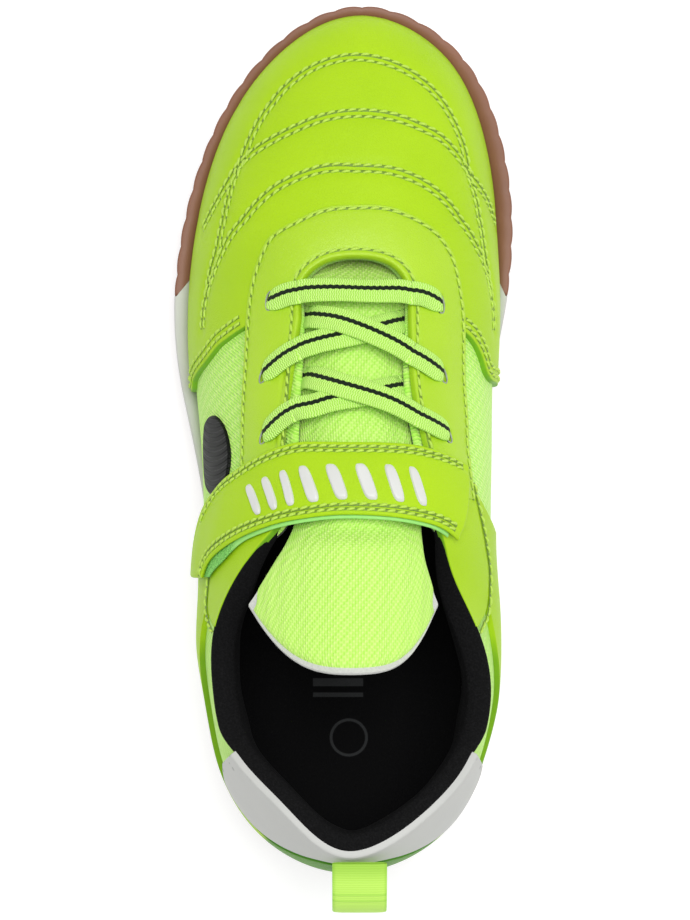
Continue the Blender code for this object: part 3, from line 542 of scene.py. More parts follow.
half = 0.5 * eased(241)
left, right = (skin(q, 0.0) + outward(q) * (SHELL_IN + INSOLE_TUCK) for q in (half, 1.0 - half))
sock = plate(left, right, 81)
away = np.minimum(*(np.linalg.norm(sock - side[:, None], axis=-1) for side in (left, right)))
sock[..., 2] = bed(sock[..., 1]) + INSOLE_THICKNESS + INSOLE_CUP * (1.0 - smooth(away, 0.0, 0.009))
sock[..., 2] -= (INSOLE_THICKNESS + INSOLE_CUP) * (away < 1e-6)


def sock_look(field):
    """Black brushed cloth with a faint grey ring and bars printed on the heel."""
    place = field.place()
    x, y = (field.node("SeparateXYZ", {}, {0: place}, axis) for axis in "XY")
    off = field.math("SQRT", (x + 0.0003) * (x + 0.0003) + (y + 0.0008) * (y + 0.0008))
    circle = off.step(0.0040, 0.0042) * (1.0 - off.step(0.0047, 0.0049))
    beside = field.math("ABSOLUTE", x + 0.003)
    row = field.math("ABSOLUTE", field.math("PINGPONG", y - 0.0095, 0.0018))
    band = (1.0 - beside.step(0.0062, 0.0064)) * y.step(0.0093, 0.0095) * (1.0 - y.step(0.0166, 0.0168))
    bars = band * (1.0 - row.step(0.0009, 0.0011))
    ink = field.math("MAXIMUM", circle, bars)
    nap = field.noise(2600.0, 3.0)
    cloth = nap.blend((0.002, 0.002, 0.0022), (0.006, 0.006, 0.0063))
    return {"Base Color": (ink * 0.8).blend(cloth, (0.045, 0.047, 0.048)),
            "Roughness": nap * 0.1 + 0.85, "Height": nap * 0.12 + field.noise(300.0) * 0.1}


brushed = finish("brushed_sock", sock_look, Specular_IOR_Level=0.1)
insole = piece("insole_sock", [patchwork(sock, flip=True)], brushed)
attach(insole, "root")
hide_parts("insole")

# Upper
# One shell of knitted mesh with its lining, about 2 mm thick, lasted and held in the rim
# of the sole. It shows between the overlays on both sides and, inside, at the throat.
SHELL_OUT = -0.0014
RIB_LENGTH = 0.075
LIP_RISE = 0.001
COLLAR_REACH = station(0.385)


def skin_normal(t, v):
    """Outward unit normal of the skin, level at the foot."""
    t, v = np.broadcast_arrays(np.asarray(t, float), np.asarray(v, float))
    along_t = skin(t + 1e-3, v) - skin(t - 1e-3, v)
    along_v = skin(t, np.clip(v + 1e-3, 0, 1)) - skin(t, np.clip(v - 1e-3, 0, 1))
    normal = unit(np.cross(along_v, along_t))
    normal[..., 2] *= smooth(v, 0.0, 0.1)
    return unit(normal)


def layer(t, v, offset):
    """The skin moved outward by an offset."""
    return skin(t, v) + skin_normal(t, v) * np.asarray(offset, float)[..., None]


def knit_look(field):
    """Fine lime knit: slanting columns of small loops, paler on their crests."""
    u, v = field.chart("X"), field.chart("Y")
    columns = ((u * 0.94 + v * 0.34) * 7600.0).wave()
    courses = ((v * 0.94 - u * 0.34) * 5200.0).wave()
    loops = columns * (courses * 0.5 + 0.5)
    dash = ((u * 0.5 + v * 0.87) * 3600.0).wave() * ((u * 0.87 - v * 0.5) * 2300.0).wave()
    inner = field.chart("Z").step(0.4, 0.6)
    cloud = field.noise(70.0, 3.0)
    lime = loops.blend((0.37, 0.82, 0.06), (0.66, 0.99, 0.20))
    lime = (cloud * 0.35).blend(lime, (0.46, 0.86, 0.08))
    lime = (dash * 0.5).blend(lime, (0.80, 1.0, 0.34))
    lining = loops.blend((0.004, 0.005, 0.004), (0.011, 0.012, 0.011))
    return {"Base Color": inner.blend(lime, lining), "Roughness": loops * 0.1 + 0.7,
            "Height": loops * 0.16 + columns * 0.06 + dash * 0.12}


t = np.arange(480) / 480.0
behind = np.minimum(t, 1.0 - t)
top = 0.988 - 0.05 * (1.0 - smooth(behind, COLLAR_REACH - 0.02, COLLAR_REACH + 0.004))
v = np.linspace(0.0, 1.0, 49)[None, :] * top[:, None]
outer, inner = (layer(t[:, None], v, offset) for offset in (SHELL_OUT, SHELL_IN))
rise = unit(outer[:, -1] - outer[:, -2])
middle, half_wall = 0.5 * (outer[:, -1] + inner[:, -1]), 0.5 * (outer[:, -1] - inner[:, -1])
lip = np.stack([middle + half_wall * np.cos(a) + rise * LIP_RISE * np.sin(a) for a in (0.7, 1.57, 2.44)], 1)
shell = np.concatenate([outer, lip, inner[:, ::-1]], 1)
side_of_wall = np.concatenate([np.zeros(49), [0.0, 0.5, 1.0], np.ones(49)])[None, :]
run_up = np.concatenate([v, np.repeat(v[:, -1:], 3, 1), v[:, ::-1]], 1) * RIB_LENGTH
chart = chart_of(t[:, None] * OUTLINE_LENGTH, run_up, side_of_wall)
knit = finish("lime_knit", knit_look, Sheen_Weight=0.2)
upper = piece("knit_shell", [patchwork(shell, chart, round_u=True)], knit)
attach(upper, "root")
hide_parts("upper")


# Vamp
# Smooth lime synthetic leather over the toe, cut off behind the ball on both sides, its
# borders turned down to the knit. Three pairs of seams run across it, with the leather
# drawn down a little along them, and one pair runs along each rear edge.
LEATHER = 0.001
UNDER_LEATHER = -LEATHER - 0.0004
FLEX_CREASES = ((0.128, -0.018), (0.1225, 0.020), (0.140, 0.004), (0.158, -0.010))
REAR_SEAMS = (0.0016, 0.0035)
EYESTAY_EDGE = ((1.00, 0.856, 0.856), (0.93, 0.842, 0.834), (0.88, 0.827, 0.814), (0.84, 0.803, 0.790),
                (0.80, 0.778, 0.762), (0.74, 0.773, 0.733), (0.69, 0.761, 0.731), (0.65, 0.752, 0.722),
                (0.59, 0.750, 0.710), (0.53, 0.736, 0.709), (0.49, 0.732, 0.730), (0.42, 0.730, 0.735))
THREAD = 0.00030
TOE_SEAM = ((1.00, 0.40, 0.40), (0.96, 0.395, 0.41), (0.92, 0.417, 0.427), (0.88, 0.446, 0.443),
            (0.84, 0.462, 0.465), (0.80, 0.483, 0.465), (0.76, 0.50, 0.470), (0.73, 0.50, 0.478),
            (0.70, 0.475, 0.47), (0.66, 0.45, 0.45), (0.625, 0.44, 0.44))
MIDDLE_SEAM = ((1.00, 0.598, 0.592), (0.96, 0.583, 0.576), (0.92, 0.549, 0.538), (0.88, 0.496, 0.502),
               (0.85, 0.450, 0.468), (0.82, 0.425, 0.415), (0.785, 0.377, 0.315), (0.75, 0.30, 0.19))
REAR_SEAM = ((1.00, 0.757, 0.753), (0.96, 0.737, 0.741), (0.92, 0.716, 0.720), (0.88, 0.687, 0.694),
             (0.84, 0.657, 0.663), (0.80, 0.622, 0.627), (0.76, 0.575, 0.575), (0.73, 0.540, 0.532),
             (0.70, 0.500, 0.485), (0.67, 0.455, 0.45))
VAMP_REAR = ((0.0, 0.545, 0.552), (0.23, 0.550, 0.557), (0.30, 0.562, 0.560), (0.36, 0.570, 0.563),
             (0.45, 0.582, 0.566), (0.52, 0.594, 0.576), (0.58, 0.606, 0.596), (0.65, 0.617, 0.614),
             (0.73, 0.630, 0.628), (0.80, 0.640, 0.637), (1.0, 0.66, 0.66))


def through(rows, count):
    """Smooth curve with count points through the rows of a table (Catmull-Rom)."""
    rows = np.asarray(rows, float)
    ends = np.concatenate([[2 * rows[0] - rows[1]], rows, [2 * rows[-1] - rows[-2]]])
    u = np.linspace(0.0, len(rows) - 1.0, count)
    k = np.minimum(u.astype(int), len(rows) - 2)
    f = (u - k).reshape((-1,) + (1,) * (rows.ndim - 1))
    a, b, c, d = (ends[k + n] for n in range(4))
    return 0.5 * (2 * b + (c - a) * f + (2 * a - 5 * b + 4 * c - d) * f ** 2
                  + (3 * b - a - 3 * c + d) * f ** 3)


def across_toe(rows, count=400):
    """(t, v) of a seam from the outer side round the toe to the inner side."""
    rows = np.asarray(rows)
    outer = np.column_stack([station(rows[::-1, 0]), rows[::-1, 1]])
    inner = np.column_stack([1.0 - station(rows[1:, 0]), rows[1:, 2]])
    return through(np.vstack([outer, inner]), count)


def eyestay_edge(t):
    """v of the eyestay's outer edge."""
    path = across_toe(EYESTAY_EDGE)
    return np.interp(t, path[:, 0], path[:, 1])


def plan_offset(t, distance):
    """v where the rib is a given distance away from the throat or collar edge in plan."""
    v = np.linspace(1.0, 0.30, 141)
    t = np.asarray(t, float)
    grid = skin(t.reshape(-1, 1), v[None, :])
    away = np.maximum.accumulate(np.hypot(*np.moveaxis(grid[..., :2] - grid[:, :1, :2], -1, 0)), axis=1)
    last = np.clip((away < distance).sum(1), 1, len(v) - 1)
    row = np.arange(len(away))
    part = (distance - away[row, last - 1]) / np.maximum(away[row, last] - away[row, last - 1], 1e-9)
    return (v[last - 1] + np.clip(part, 0, 1) * (v[1] - v[0])).reshape(t.shape)


def crowded(count):
    """Shares from 0 to 1: a quarter of an even run and three quarters of an eased one."""
    x = np.linspace(0.0, 1.0, count)
    return 0.25 * x + 0.75 * 0.5 * (1.0 - np.cos(np.pi * x))


def runs(base):
    """Distances in metres along the rows and along the columns of a grid of points."""
    down = np.concatenate([np.zeros((1, base.shape[1])),
                           np.cumsum(np.linalg.norm(np.diff(base, axis=0), axis=-1), 0)])
    side = np.concatenate([np.zeros((base.shape[0], 1)),
                           np.cumsum(np.linalg.norm(np.diff(base, axis=1), axis=-1), 1)], 1)
    return down, side


def run_along(points):
    """Distances in metres along a row of points."""
    return np.concatenate([[0.0], np.cumsum(np.linalg.norm(np.diff(points, axis=0), axis=-1))])


def from_border(down, side):
    """Distance to the nearest border of a grid, from the runs along its rows and columns."""
    return np.minimum(np.minimum(down, down[-1:] - down), np.minimum(side, side[:, -1:] - side))


def quarter_round(away, edge):
    """Rises from 0 at a border to 1 at the distance edge as a quarter circle."""
    return np.sqrt(np.clip(1 - (1 - np.clip(away / edge, 0, 1)) ** 2, 0, 1))


def sampled(place, run, rows):
    """Rows of vectors read off at places along their run."""
    return np.stack([np.interp(place, run, rows[:, k]) for k in range(3)], -1)


def distance_to(points, path):
    """Distance in metres from every point to the nearest sample of a path."""
    flat = points.reshape(-1, 3)
    parts = [np.sqrt(((block[:, None] - path[None]) ** 2).sum(-1)).min(1)
             for block in np.array_split(flat, max(1, len(flat) * len(path) // 4000000))]
    return np.concatenate(parts).reshape(points.shape[:2])


def overlay(t, v, top, bottom, edge, relief=None):
    """Sheet on the skin between two heights, its borders turned down in a quarter round."""
    base = skin(t, v)
    down, side = runs(base)
    away = from_border(down, side)
    height = bottom + (top - bottom) * quarter_round(away, edge)
    if relief is not None:
        height = height + relief(base) * smooth(away, 0.0, 2.0 * edge)
    return base + skin_normal(t, v) * height[..., None], chart_of(down, side, away)


def groove(base, path, depth, width):
    """Trough along a path: depth times a bell of the distance over the width."""
    return -depth * np.exp(-(distance_to(base, path) / width) ** 2)


def moved(tv, apart):
    """Rows of (t, v) moved sideways on the skin by a distance.

    The step is taken across the path in space and split into steps of t and v by the
    lengths and the angle of the skin's two tangents.
    """
    t, v = tv.T
    step = 1e-4
    along_t = (skin(t + step, v) - skin(t - step, v)) / (2 * step)
    along_v = (skin(t, v + step) - skin(t, v - step)) / (2 * step)
    way = unit(np.cross(skin_normal(t, v), np.gradient(skin(t, v), axis=0))) * apart
    a, b, c = (along_t ** 2).sum(-1), (along_t * along_v).sum(-1), (along_v ** 2).sum(-1)
    p, q = (way * along_t).sum(-1), (way * along_v).sum(-1)
    area = a * c - b * b
    return tv + np.column_stack([(c * p - b * q) / area, (a * q - b * p) / area])


def stitches(paths, pitch, thread=THREAD):
    """Rows of stitches: each a short tube that rises from its needle hole and goes back.

    A path is (points, normals). The tube's centre stands over the path by an arch of the
    share run through, and its sides are an ellipse a little wider than high. Under the
    stitches runs a thin dark ribbon of painted shade, the shadow of the pressed line with
    the needle holes.
    """
    grids = []
    x = np.array([0.0, 0.12, 0.35, 0.65, 0.88, 1.0])
    arch = np.array([-0.9, 0.15, 0.8, 0.8, 0.15, -0.9])
    girth = np.array([0.35, 0.8, 1.0, 1.0, 0.8, 0.35])
    turn = np.arange(6) * np.pi / 3.0
    for points, normals in paths:
        run = run_along(points)
        count = max(1, int(round(run[-1] / pitch)))
        place = (np.arange(count)[:, None] + 0.04 + 0.92 * x[None, :]) * run[-1] / count
        centre, normal = sampled(place, run, points), unit(sampled(place, run, normals))
        tangent = unit(np.gradient(centre, axis=1))
        side = unit(np.cross(normal, tangent))
        slant = side * (x - 0.5)[None, :, None] * thread * 1.6
        centre = centre + normal * (arch * thread)[None, :, None] + slant
        beside = side[:, :, None] * (np.cos(turn) * 1.25 * thread)[None, None, :, None]
        above = normal[:, :, None] * (np.sin(turn) * thread)[None, None, :, None]
        tube = centre[:, :, None] + (beside + above) * girth[None, :, None, None]
        one = patchwork(tube[0], round_v=True)[1]
        quads = (one[None] + (np.arange(count) * len(x) * len(turn))[:, None, None]).reshape(-1, 4)
        grids.append((tube.reshape(-1, 3), quads, np.tile([0.0, 0.0, 1.0], (tube.size // 3, 1))))
        # Painted shade: the dark ribbon under the stitches stands in for the shadow of the pressed line.
        even = np.linspace(0.0, run[-1], 2 * count + 2)
        shadow_line, lift = sampled(even, run, points), unit(sampled(even, run, normals))
        beside = unit(np.cross(lift, np.gradient(shadow_line, axis=0)))
        shadow_strip = np.stack([shadow_line + beside * w * 1.9 * thread + lift * h * thread
                          for w, h in ((-1, -0.3), (-0.6, 0.2), (0.6, 0.2), (1, -0.3))], 1)
        grids.append(patchwork(shadow_strip, flip=True))
    return grids


def thread_look(field):
    """Waxed lime thread over a dark olive line of painted shade along the seam."""
    tone = field.chart("Z").step(0.4, 0.6)
    fibre = field.noise(3000.0, 2.0)
    thread = fibre.blend((0.30, 0.50, 0.03), (0.62, 0.86, 0.12))
    shadow_line = fibre.blend((0.10, 0.19, 0.012), (0.20, 0.34, 0.018))
    return {"Base Color": tone.blend(shadow_line, thread), "Roughness": fibre * 0.2 + 0.45}


def leather_look(field, dark=(0.34, 0.58, 0.009), light=(0.46, 0.71, 0.016)):
    """Smooth coated synthetic leather: pebble grain, fine pores and soft clouds of tone."""
    cloud = field.noise(38.0, 3.0)
    pebble = field.cells(1500.0, "DISTANCE_TO_EDGE").step(0.0, 0.12)
    fine = field.noise(5200.0, 2.0)
    color = (cloud * 0.75 + 0.12).blend(dark, light)
    color = (1.0 - pebble * 0.06).blend(dark, color)
    return {"Base Color": color, "Roughness": cloud * 0.10 + (1.0 - pebble) * 0.08 + 0.36,
            "Height": pebble * 0.035 + fine * 0.018 + field.noise(260.0, 2.0) * 0.06}


def edge_shaded_leather_look(field):
    """The same leather, darker green along its turned-down border as painted shade."""
    varied = leather_look(field)
    # Painted shade: darker green within half a millimetre of the border, where it turns down.
    edge = 1.0 - field.chart("Z").step(0.00010, 0.00045)
    varied["Base Color"] = (edge * 0.75).blend(varied["Base Color"], (0.10, 0.34, 0.02))
    return varied


leather = finish("lime_leather", leather_look, Specular_IOR_Level=0.14)
edge_shaded_leather = finish("lime_edge_shaded_leather", edge_shaded_leather_look, Specular_IOR_Level=0.14)
thread = finish("lime_thread", thread_look)


def seam_path(tv, height, apart=0.0, relief=None):
    """(points, normals) of a seam given by rows of (t, v), moved sideways if asked.

    It lies at a height over the skin plus the relief of the leather that carries it.
    """
    t, v = (moved(tv, apart) if apart else tv).T
    points, normals = skin(t, v), skin_normal(t, v)
    if relief is not None:
        height = height + relief(points[:, None])[:, 0]
    return points + normals * np.broadcast_to(height, t.shape)[:, None], normals


SEAM_APART = 0.00095
vamp_seams = [across_toe(rows) for rows in (TOE_SEAM, MIDDLE_SEAM, REAR_SEAM)]
seam_centres = [skin(tv[:, 0], tv[:, 1]) for tv in vamp_seams]


def vamp_rear(v, side):
    """t of the vamp's rear edge at height v on the outer (1) or inner (2) side."""
    rows = through(VAMP_REAR, 200)
    found = station(np.interp(v, rows[:, 0], rows[:, side]))
    return found if side == 1 else 1.0 - found


def vamp_relief(base):
    """Troughs along the three pairs of seams and a few soft flex creases."""
    sunk = sum(groove(base, path, 0.00042, 0.0021) for path in seam_centres)
    x, y = base[..., 0], base[..., 1]
    flex = sum(-0.00022 * np.exp(-((y - place - 0.10 * x - 3.5 * x * x) / 0.0016) ** 2)
               * np.exp(-((x - middle) / 0.016) ** 2)
               for place, middle in FLEX_CREASES)
    return sunk + flex


a, b = crowded(440)[:, None], crowded(104)[None, :]
t = 0.25 + 0.5 * a
for _ in range(4):
    v = b * (eyestay_edge(t[:, -1:]) + 0.02)
    t = vamp_rear(v, 1) + (vamp_rear(v, 2) - vamp_rear(v, 1)) * a
points, chart = overlay(t, v, 0.0, UNDER_LEATHER, 0.0004, vamp_relief)
vamp = piece("vamp_leather", [patchwork(points, chart)], edge_shaded_leather)
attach(vamp, "root")
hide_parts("vamp")

seam_rows = []
for tv in vamp_seams:
    for apart in (-SEAM_APART, SEAM_APART):
        seam_rows.append(seam_path(tv, 0.0, apart, vamp_relief))
v = np.linspace(0.10, 0.725, 90)
for side, sign in ((1, 1.0), (2, -1.0)):
    for back in REAR_SEAMS:
        seam_rows.append(seam_path(np.column_stack([vamp_rear(v, side), v]), 0.0, sign * back, vamp_relief))
vamp_stitches = piece("vamp_stitches", stitches(seam_rows, 0.0026), thread)
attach(vamp_stitches, "root")

# Eyestay
# The same leather, doubled, stitched over the vamp and the knit as a U round the throat.
# One seam follows its outer edge, one the rolled throat edge; six oval holes are punched
# in it for the elastic laces.
EYESTAY_TOP = 0.0006
EYESTAY_REACH = station(0.43)
ROLL = 0.00012
THROAT_SEAM = 0.0019
EDGE_SEAM = 0.0013
HOLE_SINK = 0.0022
BRIDGE = 0.25
HOLES = ((0.676, -0.345, 0.0), (0.670, 0.350, 0.0), (0.577, 0.362, 0.35), (0.577, -0.352, -0.35),
         (0.509, 0.352, 0.35), (0.509, -0.345, -0.35))
HOLE_LENGTH = 0.0046
HOLE_WIDTH = 0.0019


def side_place(share, s):
    """(t, v) of a place given by its share of the length and s, from -1 outer to 1 inner."""
    t = station(share)
    return (t if s < 0 else 1.0 - t), np.clip((1.0 - abs(s)) / (1.0 - BRIDGE), 0.0, 1.0)


hole_centres = np.array([skin(*side_place(share, s)) for share, s, _ in HOLES])
hole_turns = np.array([turn for _, _, turn in HOLES])


def hole_depth(base):
    """Depth of the punched holes as a share: 1 inside them, 0 outside, steep between."""
    off = base[..., None, :2] - hole_centres[:, :2]
    c, s = np.cos(hole_turns), np.sin(hole_turns)
    across_hole = (off[..., 0] * c + off[..., 1] * s) / (0.5 * HOLE_WIDTH)
    along_hole = (off[..., 1] * c - off[..., 0] * s) / (0.5 * HOLE_LENGTH)
    return 1.0 - smooth(np.hypot(across_hole, along_hole).min(-1), 0.75, 1.1)


def throat_edge(t):
    """v of the eyestay's throat edge, which stands back a little behind the ball."""
    share = np.interp(np.minimum(t, 1.0 - t), HALF_T, column("sole_y"))
    return 1.0 - np.where(t < 0.5, 0.045, 0.024) * np.clip((0.655 - share) / 0.145, 0.0, 1.2)


def rolled(from_throat, from_edge):
    """Rolled lip along the throat, troughs under both seams and a low swell between."""
    lip = ROLL * np.exp(-((from_throat - 0.0008) / 0.0007) ** 2)
    trough = 0.0002 * (np.exp(-((from_throat - THROAT_SEAM) / 0.0006) ** 2)
                       + np.exp(-((from_edge - EDGE_SEAM) / 0.0008) ** 2))
    swell = 0.0004 * np.sin(np.pi * from_throat / np.maximum(from_throat + from_edge, 1e-9)) ** 2
    return lip - trough + swell


def eyestay_relief(base):
    """The rolled profile with the punched holes sunk into it."""
    from_throat, from_edge = (np.linalg.norm(base - row, axis=-1) for row in (base[:, -1:], base[:, :1]))
    return rolled(from_throat, from_edge) - HOLE_SINK * hole_depth(base)


t = EYESTAY_REACH + (1.0 - 2.0 * EYESTAY_REACH) * crowded(760)[:, None]
v_edge = eyestay_edge(t[:, 0])[:, None]
b = crowded(64)[None, :]
v = v_edge + (throat_edge(t) - v_edge) * b
points, chart = overlay(t, v, EYESTAY_TOP, -LEATHER, 0.0006, eyestay_relief)
# The chart's third part holds the hole mask for the painted shade in the holes.
chart[..., 2] = hole_depth(skin(t, v))


def eyestay_look(field):
    """The vamp's leather, with near-black painted shade inside the punched holes."""
    varied = leather_look(field)
    # Painted shade: the hole mask darkens the leather where it sinks into each hole.
    hole_shade = field.chart("Z").step(0.5, 0.9)
    varied["Base Color"] = hole_shade.blend(varied["Base Color"], (0.012, 0.02, 0.006))
    return varied


eyestay = piece("eyestay_leather", [patchwork(points, chart)], finish("eyestay_leather", eyestay_look))
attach(eyestay, "root")
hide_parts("eyestay")

t = np.linspace(EYESTAY_REACH, 1.0 - EYESTAY_REACH, 700)
rows = []
for v in (moved(np.column_stack([t, eyestay_edge(t)]), -EDGE_SEAM)[:, 1], plan_offset(t, THROAT_SEAM)):
    from_throat, from_edge = (np.linalg.norm(skin(t, v) - skin(t, edge), axis=-1)
                              for edge in (throat_edge(t), eyestay_edge(t)))
    rows.append(seam_path(np.column_stack([t, v]), EYESTAY_TOP + rolled(from_throat, from_edge)))
eyestay_stitches = piece("eyestay_stitches", stitches(rows, 0.0027), thread)
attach(eyestay_stitches, "root")

# Side badge
# A plain oval of black rubber, 1 mm thick, stands out of the knit on the outer side
# between the eyestay and the strap. It bears low ribs only.
BADGE_SHARE = 0.481
BADGE_HALF_SHARE = 0.046
BADGE_HEIGHT = 0.380
BADGE_HALF_HEIGHT = 0.098
BADGE_TOP = -0.0006
BADGE_BOTTOM = -0.0016


def badge_look(field):
    """Black moulded rubber with low ribs."""
    ribs = (field.chart("X") * 2600.0).wave().step(0.25, 0.75)
    cloud = field.noise(200.0, 2.0)
    return {"Base Color": cloud.blend((0.002, 0.0025, 0.002), (0.006, 0.007, 0.006)),
            "Roughness": cloud * 0.1 + 0.42, "Height": ribs * 0.25}


a, b = 2.0 * crowded(60)[:, None] - 1.0, 2.0 * crowded(60)[None, :] - 1.0
share = BADGE_SHARE + BADGE_HALF_SHARE * a * np.sqrt(1.0 - 0.5 * b * b)
height = BADGE_HEIGHT + BADGE_HALF_HEIGHT * b * np.sqrt(1.0 - 0.5 * a * a)
points, chart = overlay(station(share), height / (1.0 - BRIDGE), BADGE_TOP, BADGE_BOTTOM, 0.0006)
rubber = finish("black_badge", badge_look, Specular_IOR_Level=0.12)
badge = piece("side_badge", [patchwork(points, chart)], rubber)
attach(badge, "root")

# Hole rims
# A thin greyish ring lies on the leather round each punched hole of the eyestay: an oval
# that is turned as its hole is.
RIM_THREAD = 0.00022


def hole_rim(share, s, turn):
    """Thin oval ring round a punched hole, lying on the leather."""
    t, v = side_place(share, s)
    normal = skin_normal(t, v)
    place = layer(t, v, EYESTAY_TOP + 0.0002)
    upright = unit(np.array([-np.sin(turn), np.cos(turn), 0.0]))
    upright = unit(upright - normal * (upright * normal).sum())
    level = np.cross(upright, normal)
    a, c = np.meshgrid(np.arange(28) / 28 * 2 * np.pi, np.arange(6) / 6 * 2 * np.pi, indexing="ij")
    a, c = a[..., None], c[..., None]
    direction = level * np.cos(a) * HOLE_WIDTH * 0.56 + upright * np.sin(a) * HOLE_LENGTH * 0.53
    section = RIM_THREAD * (unit(direction) * np.cos(c) + normal * np.sin(c))
    return patchwork(place + direction + section, round_u=True, round_v=True, flip=True)


def rim_look(field):
    return {"Base Color": field.noise(900.0).blend((0.20, 0.24, 0.18), (0.42, 0.46, 0.38)),
            "Roughness": field.noise(400.0) * 0.1 + 0.5}


rims = piece("hole_rims", [hole_rim(*row) for row in HOLES], finish("grey_rim", rim_look))
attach(rims, "root")

# Rear overlays
# A darker lime counter of moulded leather lies low round the heel, lime leather panels
# run from under the strap to a point at the collar, and a pale printed patch with fine
# punched dots covers the back of the collar.
COUNTER_TOP = ((0.0, 0.80), (0.013, 0.75), (0.026, 0.61), (0.04, 0.52), (0.08, 0.47), (0.12, 0.43),
               (0.16, 0.47), (0.19, 0.55), (0.21, 0.62), (0.23, 0.66), (0.25, 0.69), (0.28, 0.71),
               (0.31, 0.70), (0.34, 0.71), (0.40, 0.74), (0.46, 0.76))
COUNTER_FRONT = ((0.0, 0.42), (0.30, 0.395), (0.45, 0.390), (0.56, 0.403), (0.64, 0.421), (0.70, 0.440),
                 (0.76, 0.458), (1.0, 0.47))
PANEL_BOTTOM = ((0.250, 0.985), (0.257, 0.93), (0.267, 0.865), (0.28, 0.785), (0.30, 0.720), (0.335, 0.675),
                (0.37, 0.695), (0.40, 0.715), (0.46, 0.75))
PATCH_BOTTOM = ((0.0, 0.85), (0.008, 0.83), (0.014, 0.79), (0.025, 0.67), (0.034, 0.585), (0.045, 0.53),
                (0.07, 0.505), (0.09, 0.515), (0.100, 0.62), (0.107, 0.74))
PATCH_REACH = station(0.107)
PANEL_TOP = 0.0003
PATCH_TOP = 0.0002
PANEL_SEAM = 0.0013


def edge_at(table, t):
    """Edge height v at t, the same on both sides of the shoe, eased through the table."""
    rows = through(table, 300)
    share = np.interp(np.minimum(np.abs(t), 1.0 - np.abs(t)), HALF_T, column("sole_y"))
    return np.interp(share, rows[:, 0], rows[:, 1])


def band(t, low, high, top, bottom, edge, rows, relief=None):
    """Overlay between the edges v = low and v = high given at each t."""
    v = low[:, None] + (high - low)[:, None] * crowded(rows)[None, :]
    return overlay(np.repeat(t[:, None], rows, 1), v, top, bottom, edge, relief)


def counter_look(field):
    """Lime leather on the sides and deeper green round the heel, with a dark green line of painted shade
    along the rear of its top edge.
    """
    side = leather_look(field)
    around = field.math("ABSOLUTE", field.chart("Z"))
    heel = 1.0 - around.step(0.020, 0.023)
    # Painted shade: a dark green line within 0.7 mm of the top edge, round the rear of the heel.
    edge = (1.0 - field.chart("X").step(0.0004, 0.0007)) * (1.0 - around.step(0.066, 0.076))
    color = heel.blend(side["Base Color"], (0.09, 0.28, 0.012))
    side["Base Color"] = (edge * 0.6).blend(color, (0.06, 0.24, 0.02))
    return side


a, b = crowded(420)[:, None], crowded(48)[None, :]
front = through(COUNTER_FRONT, 200)
t = station(0.44) * (2.0 * a - 1.0)
for _ in range(4):
    v = edge_at(COUNTER_TOP, t[:, -1:]) * b
    t = station(np.interp(v, front[:, 0], front[:, 1])) * (2.0 * a - 1.0)
points, chart = overlay(t, v, 0.0, UNDER_LEATHER, 0.0006)
chart = chart_of(chart[:, -1:, 1] - chart[..., 1], v, t * OUTLINE_LENGTH)
moulded = finish("counter_leather", counter_look, Specular_IOR_Level=0.08)
counter = piece("counter_leather", [patchwork(points, chart)], moulded)
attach(counter, "root")
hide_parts("heel_counter")

t = station(0.25) + (station(0.452) - station(0.25)) * crowded(200)
low = edge_at(PANEL_BOTTOM, t)
for name, side_t in (("collar_panel_outer", t), ("collar_panel_inner", 1.0 - t)):
    points, chart = band(side_t, low, np.ones_like(t), PANEL_TOP, UNDER_LEATHER, 0.0005, 60)
    panel = piece(name.replace("collar_panel", "collar_leather"),
                  [patchwork(points, chart, flip=name.endswith("inner"))], edge_shaded_leather)
    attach(panel, "root")
    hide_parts(name)
rows = []
for side_t, apart in ((t, PANEL_SEAM), (1.0 - t, -PANEL_SEAM)):
    tv = moved(np.column_stack([side_t, low]), apart)
    rows.append(seam_path(tv[tv[:, 1] < 0.975], PANEL_TOP))
panel_stitches = piece("panel_stitches", stitches(rows, 0.0026), thread)
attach(panel_stitches, "root")


def patch_look(field):
    """Pale grey printed film with a soft grain and a few fine dark dots near its ends."""
    far = field.math("ABSOLUTE", field.chart("Z"))
    dots = field.cells(260.0, "F1")
    dot = (1.0 - dots.step(0.13, 0.17)) * far.step(0.030, 0.044)
    cloud = field.noise(60.0, 3.0)
    color = cloud.blend((0.47, 0.475, 0.455), (0.55, 0.555, 0.53))
    return {"Base Color": (dot * 0.85).blend(color, (0.10, 0.10, 0.095)), "Roughness": cloud * 0.1 + 0.5,
            "Height": field.noise(2200.0) * 0.03 - dot * 0.1}


t = -PATCH_REACH + 2.0 * PATCH_REACH * crowded(240)
points, chart = band(t, edge_at(PATCH_BOTTOM, t), np.ones_like(t), PATCH_TOP, UNDER_LEATHER, 0.0005, 44)
chart[..., 2] = t[:, None] * OUTLINE_LENGTH
heel_patch = piece("heel_patch_film", [patchwork(points, chart)], finish("grey_film", patch_look))
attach(heel_patch, "root")
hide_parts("heel_patch")

# Collar lining
# Black brushed cloth over soft foam: it rolls over the collar edge from under the
# overlays, bulges inwards all round the heel and is sewn flat to the shell lower down.
ROLL_RADIUS = 0.0023
ROLL_RISE = 0.0013
ROLL_WIDER = 0.0013
ROLL_START = 0.0011
PAD_DEPTH = 0.0028


def lining_look(field):
    """Black brushed cloth with a short lighter nap and lint."""
    nap = field.noise(2400.0, 4.0)
    lint = field.cells(700.0).step(0.02, 0.08)
    color = nap.step(0.35, 0.8).blend((0.002, 0.002, 0.0022), (0.009, 0.009, 0.0095))
    return {"Base Color": (1.0 - lint).blend(color, (0.03, 0.03, 0.033)), "Roughness": nap * 0.1 + 0.85,
            "Height": nap * 0.25 + field.noise(420.0, 2.0) * 0.15}


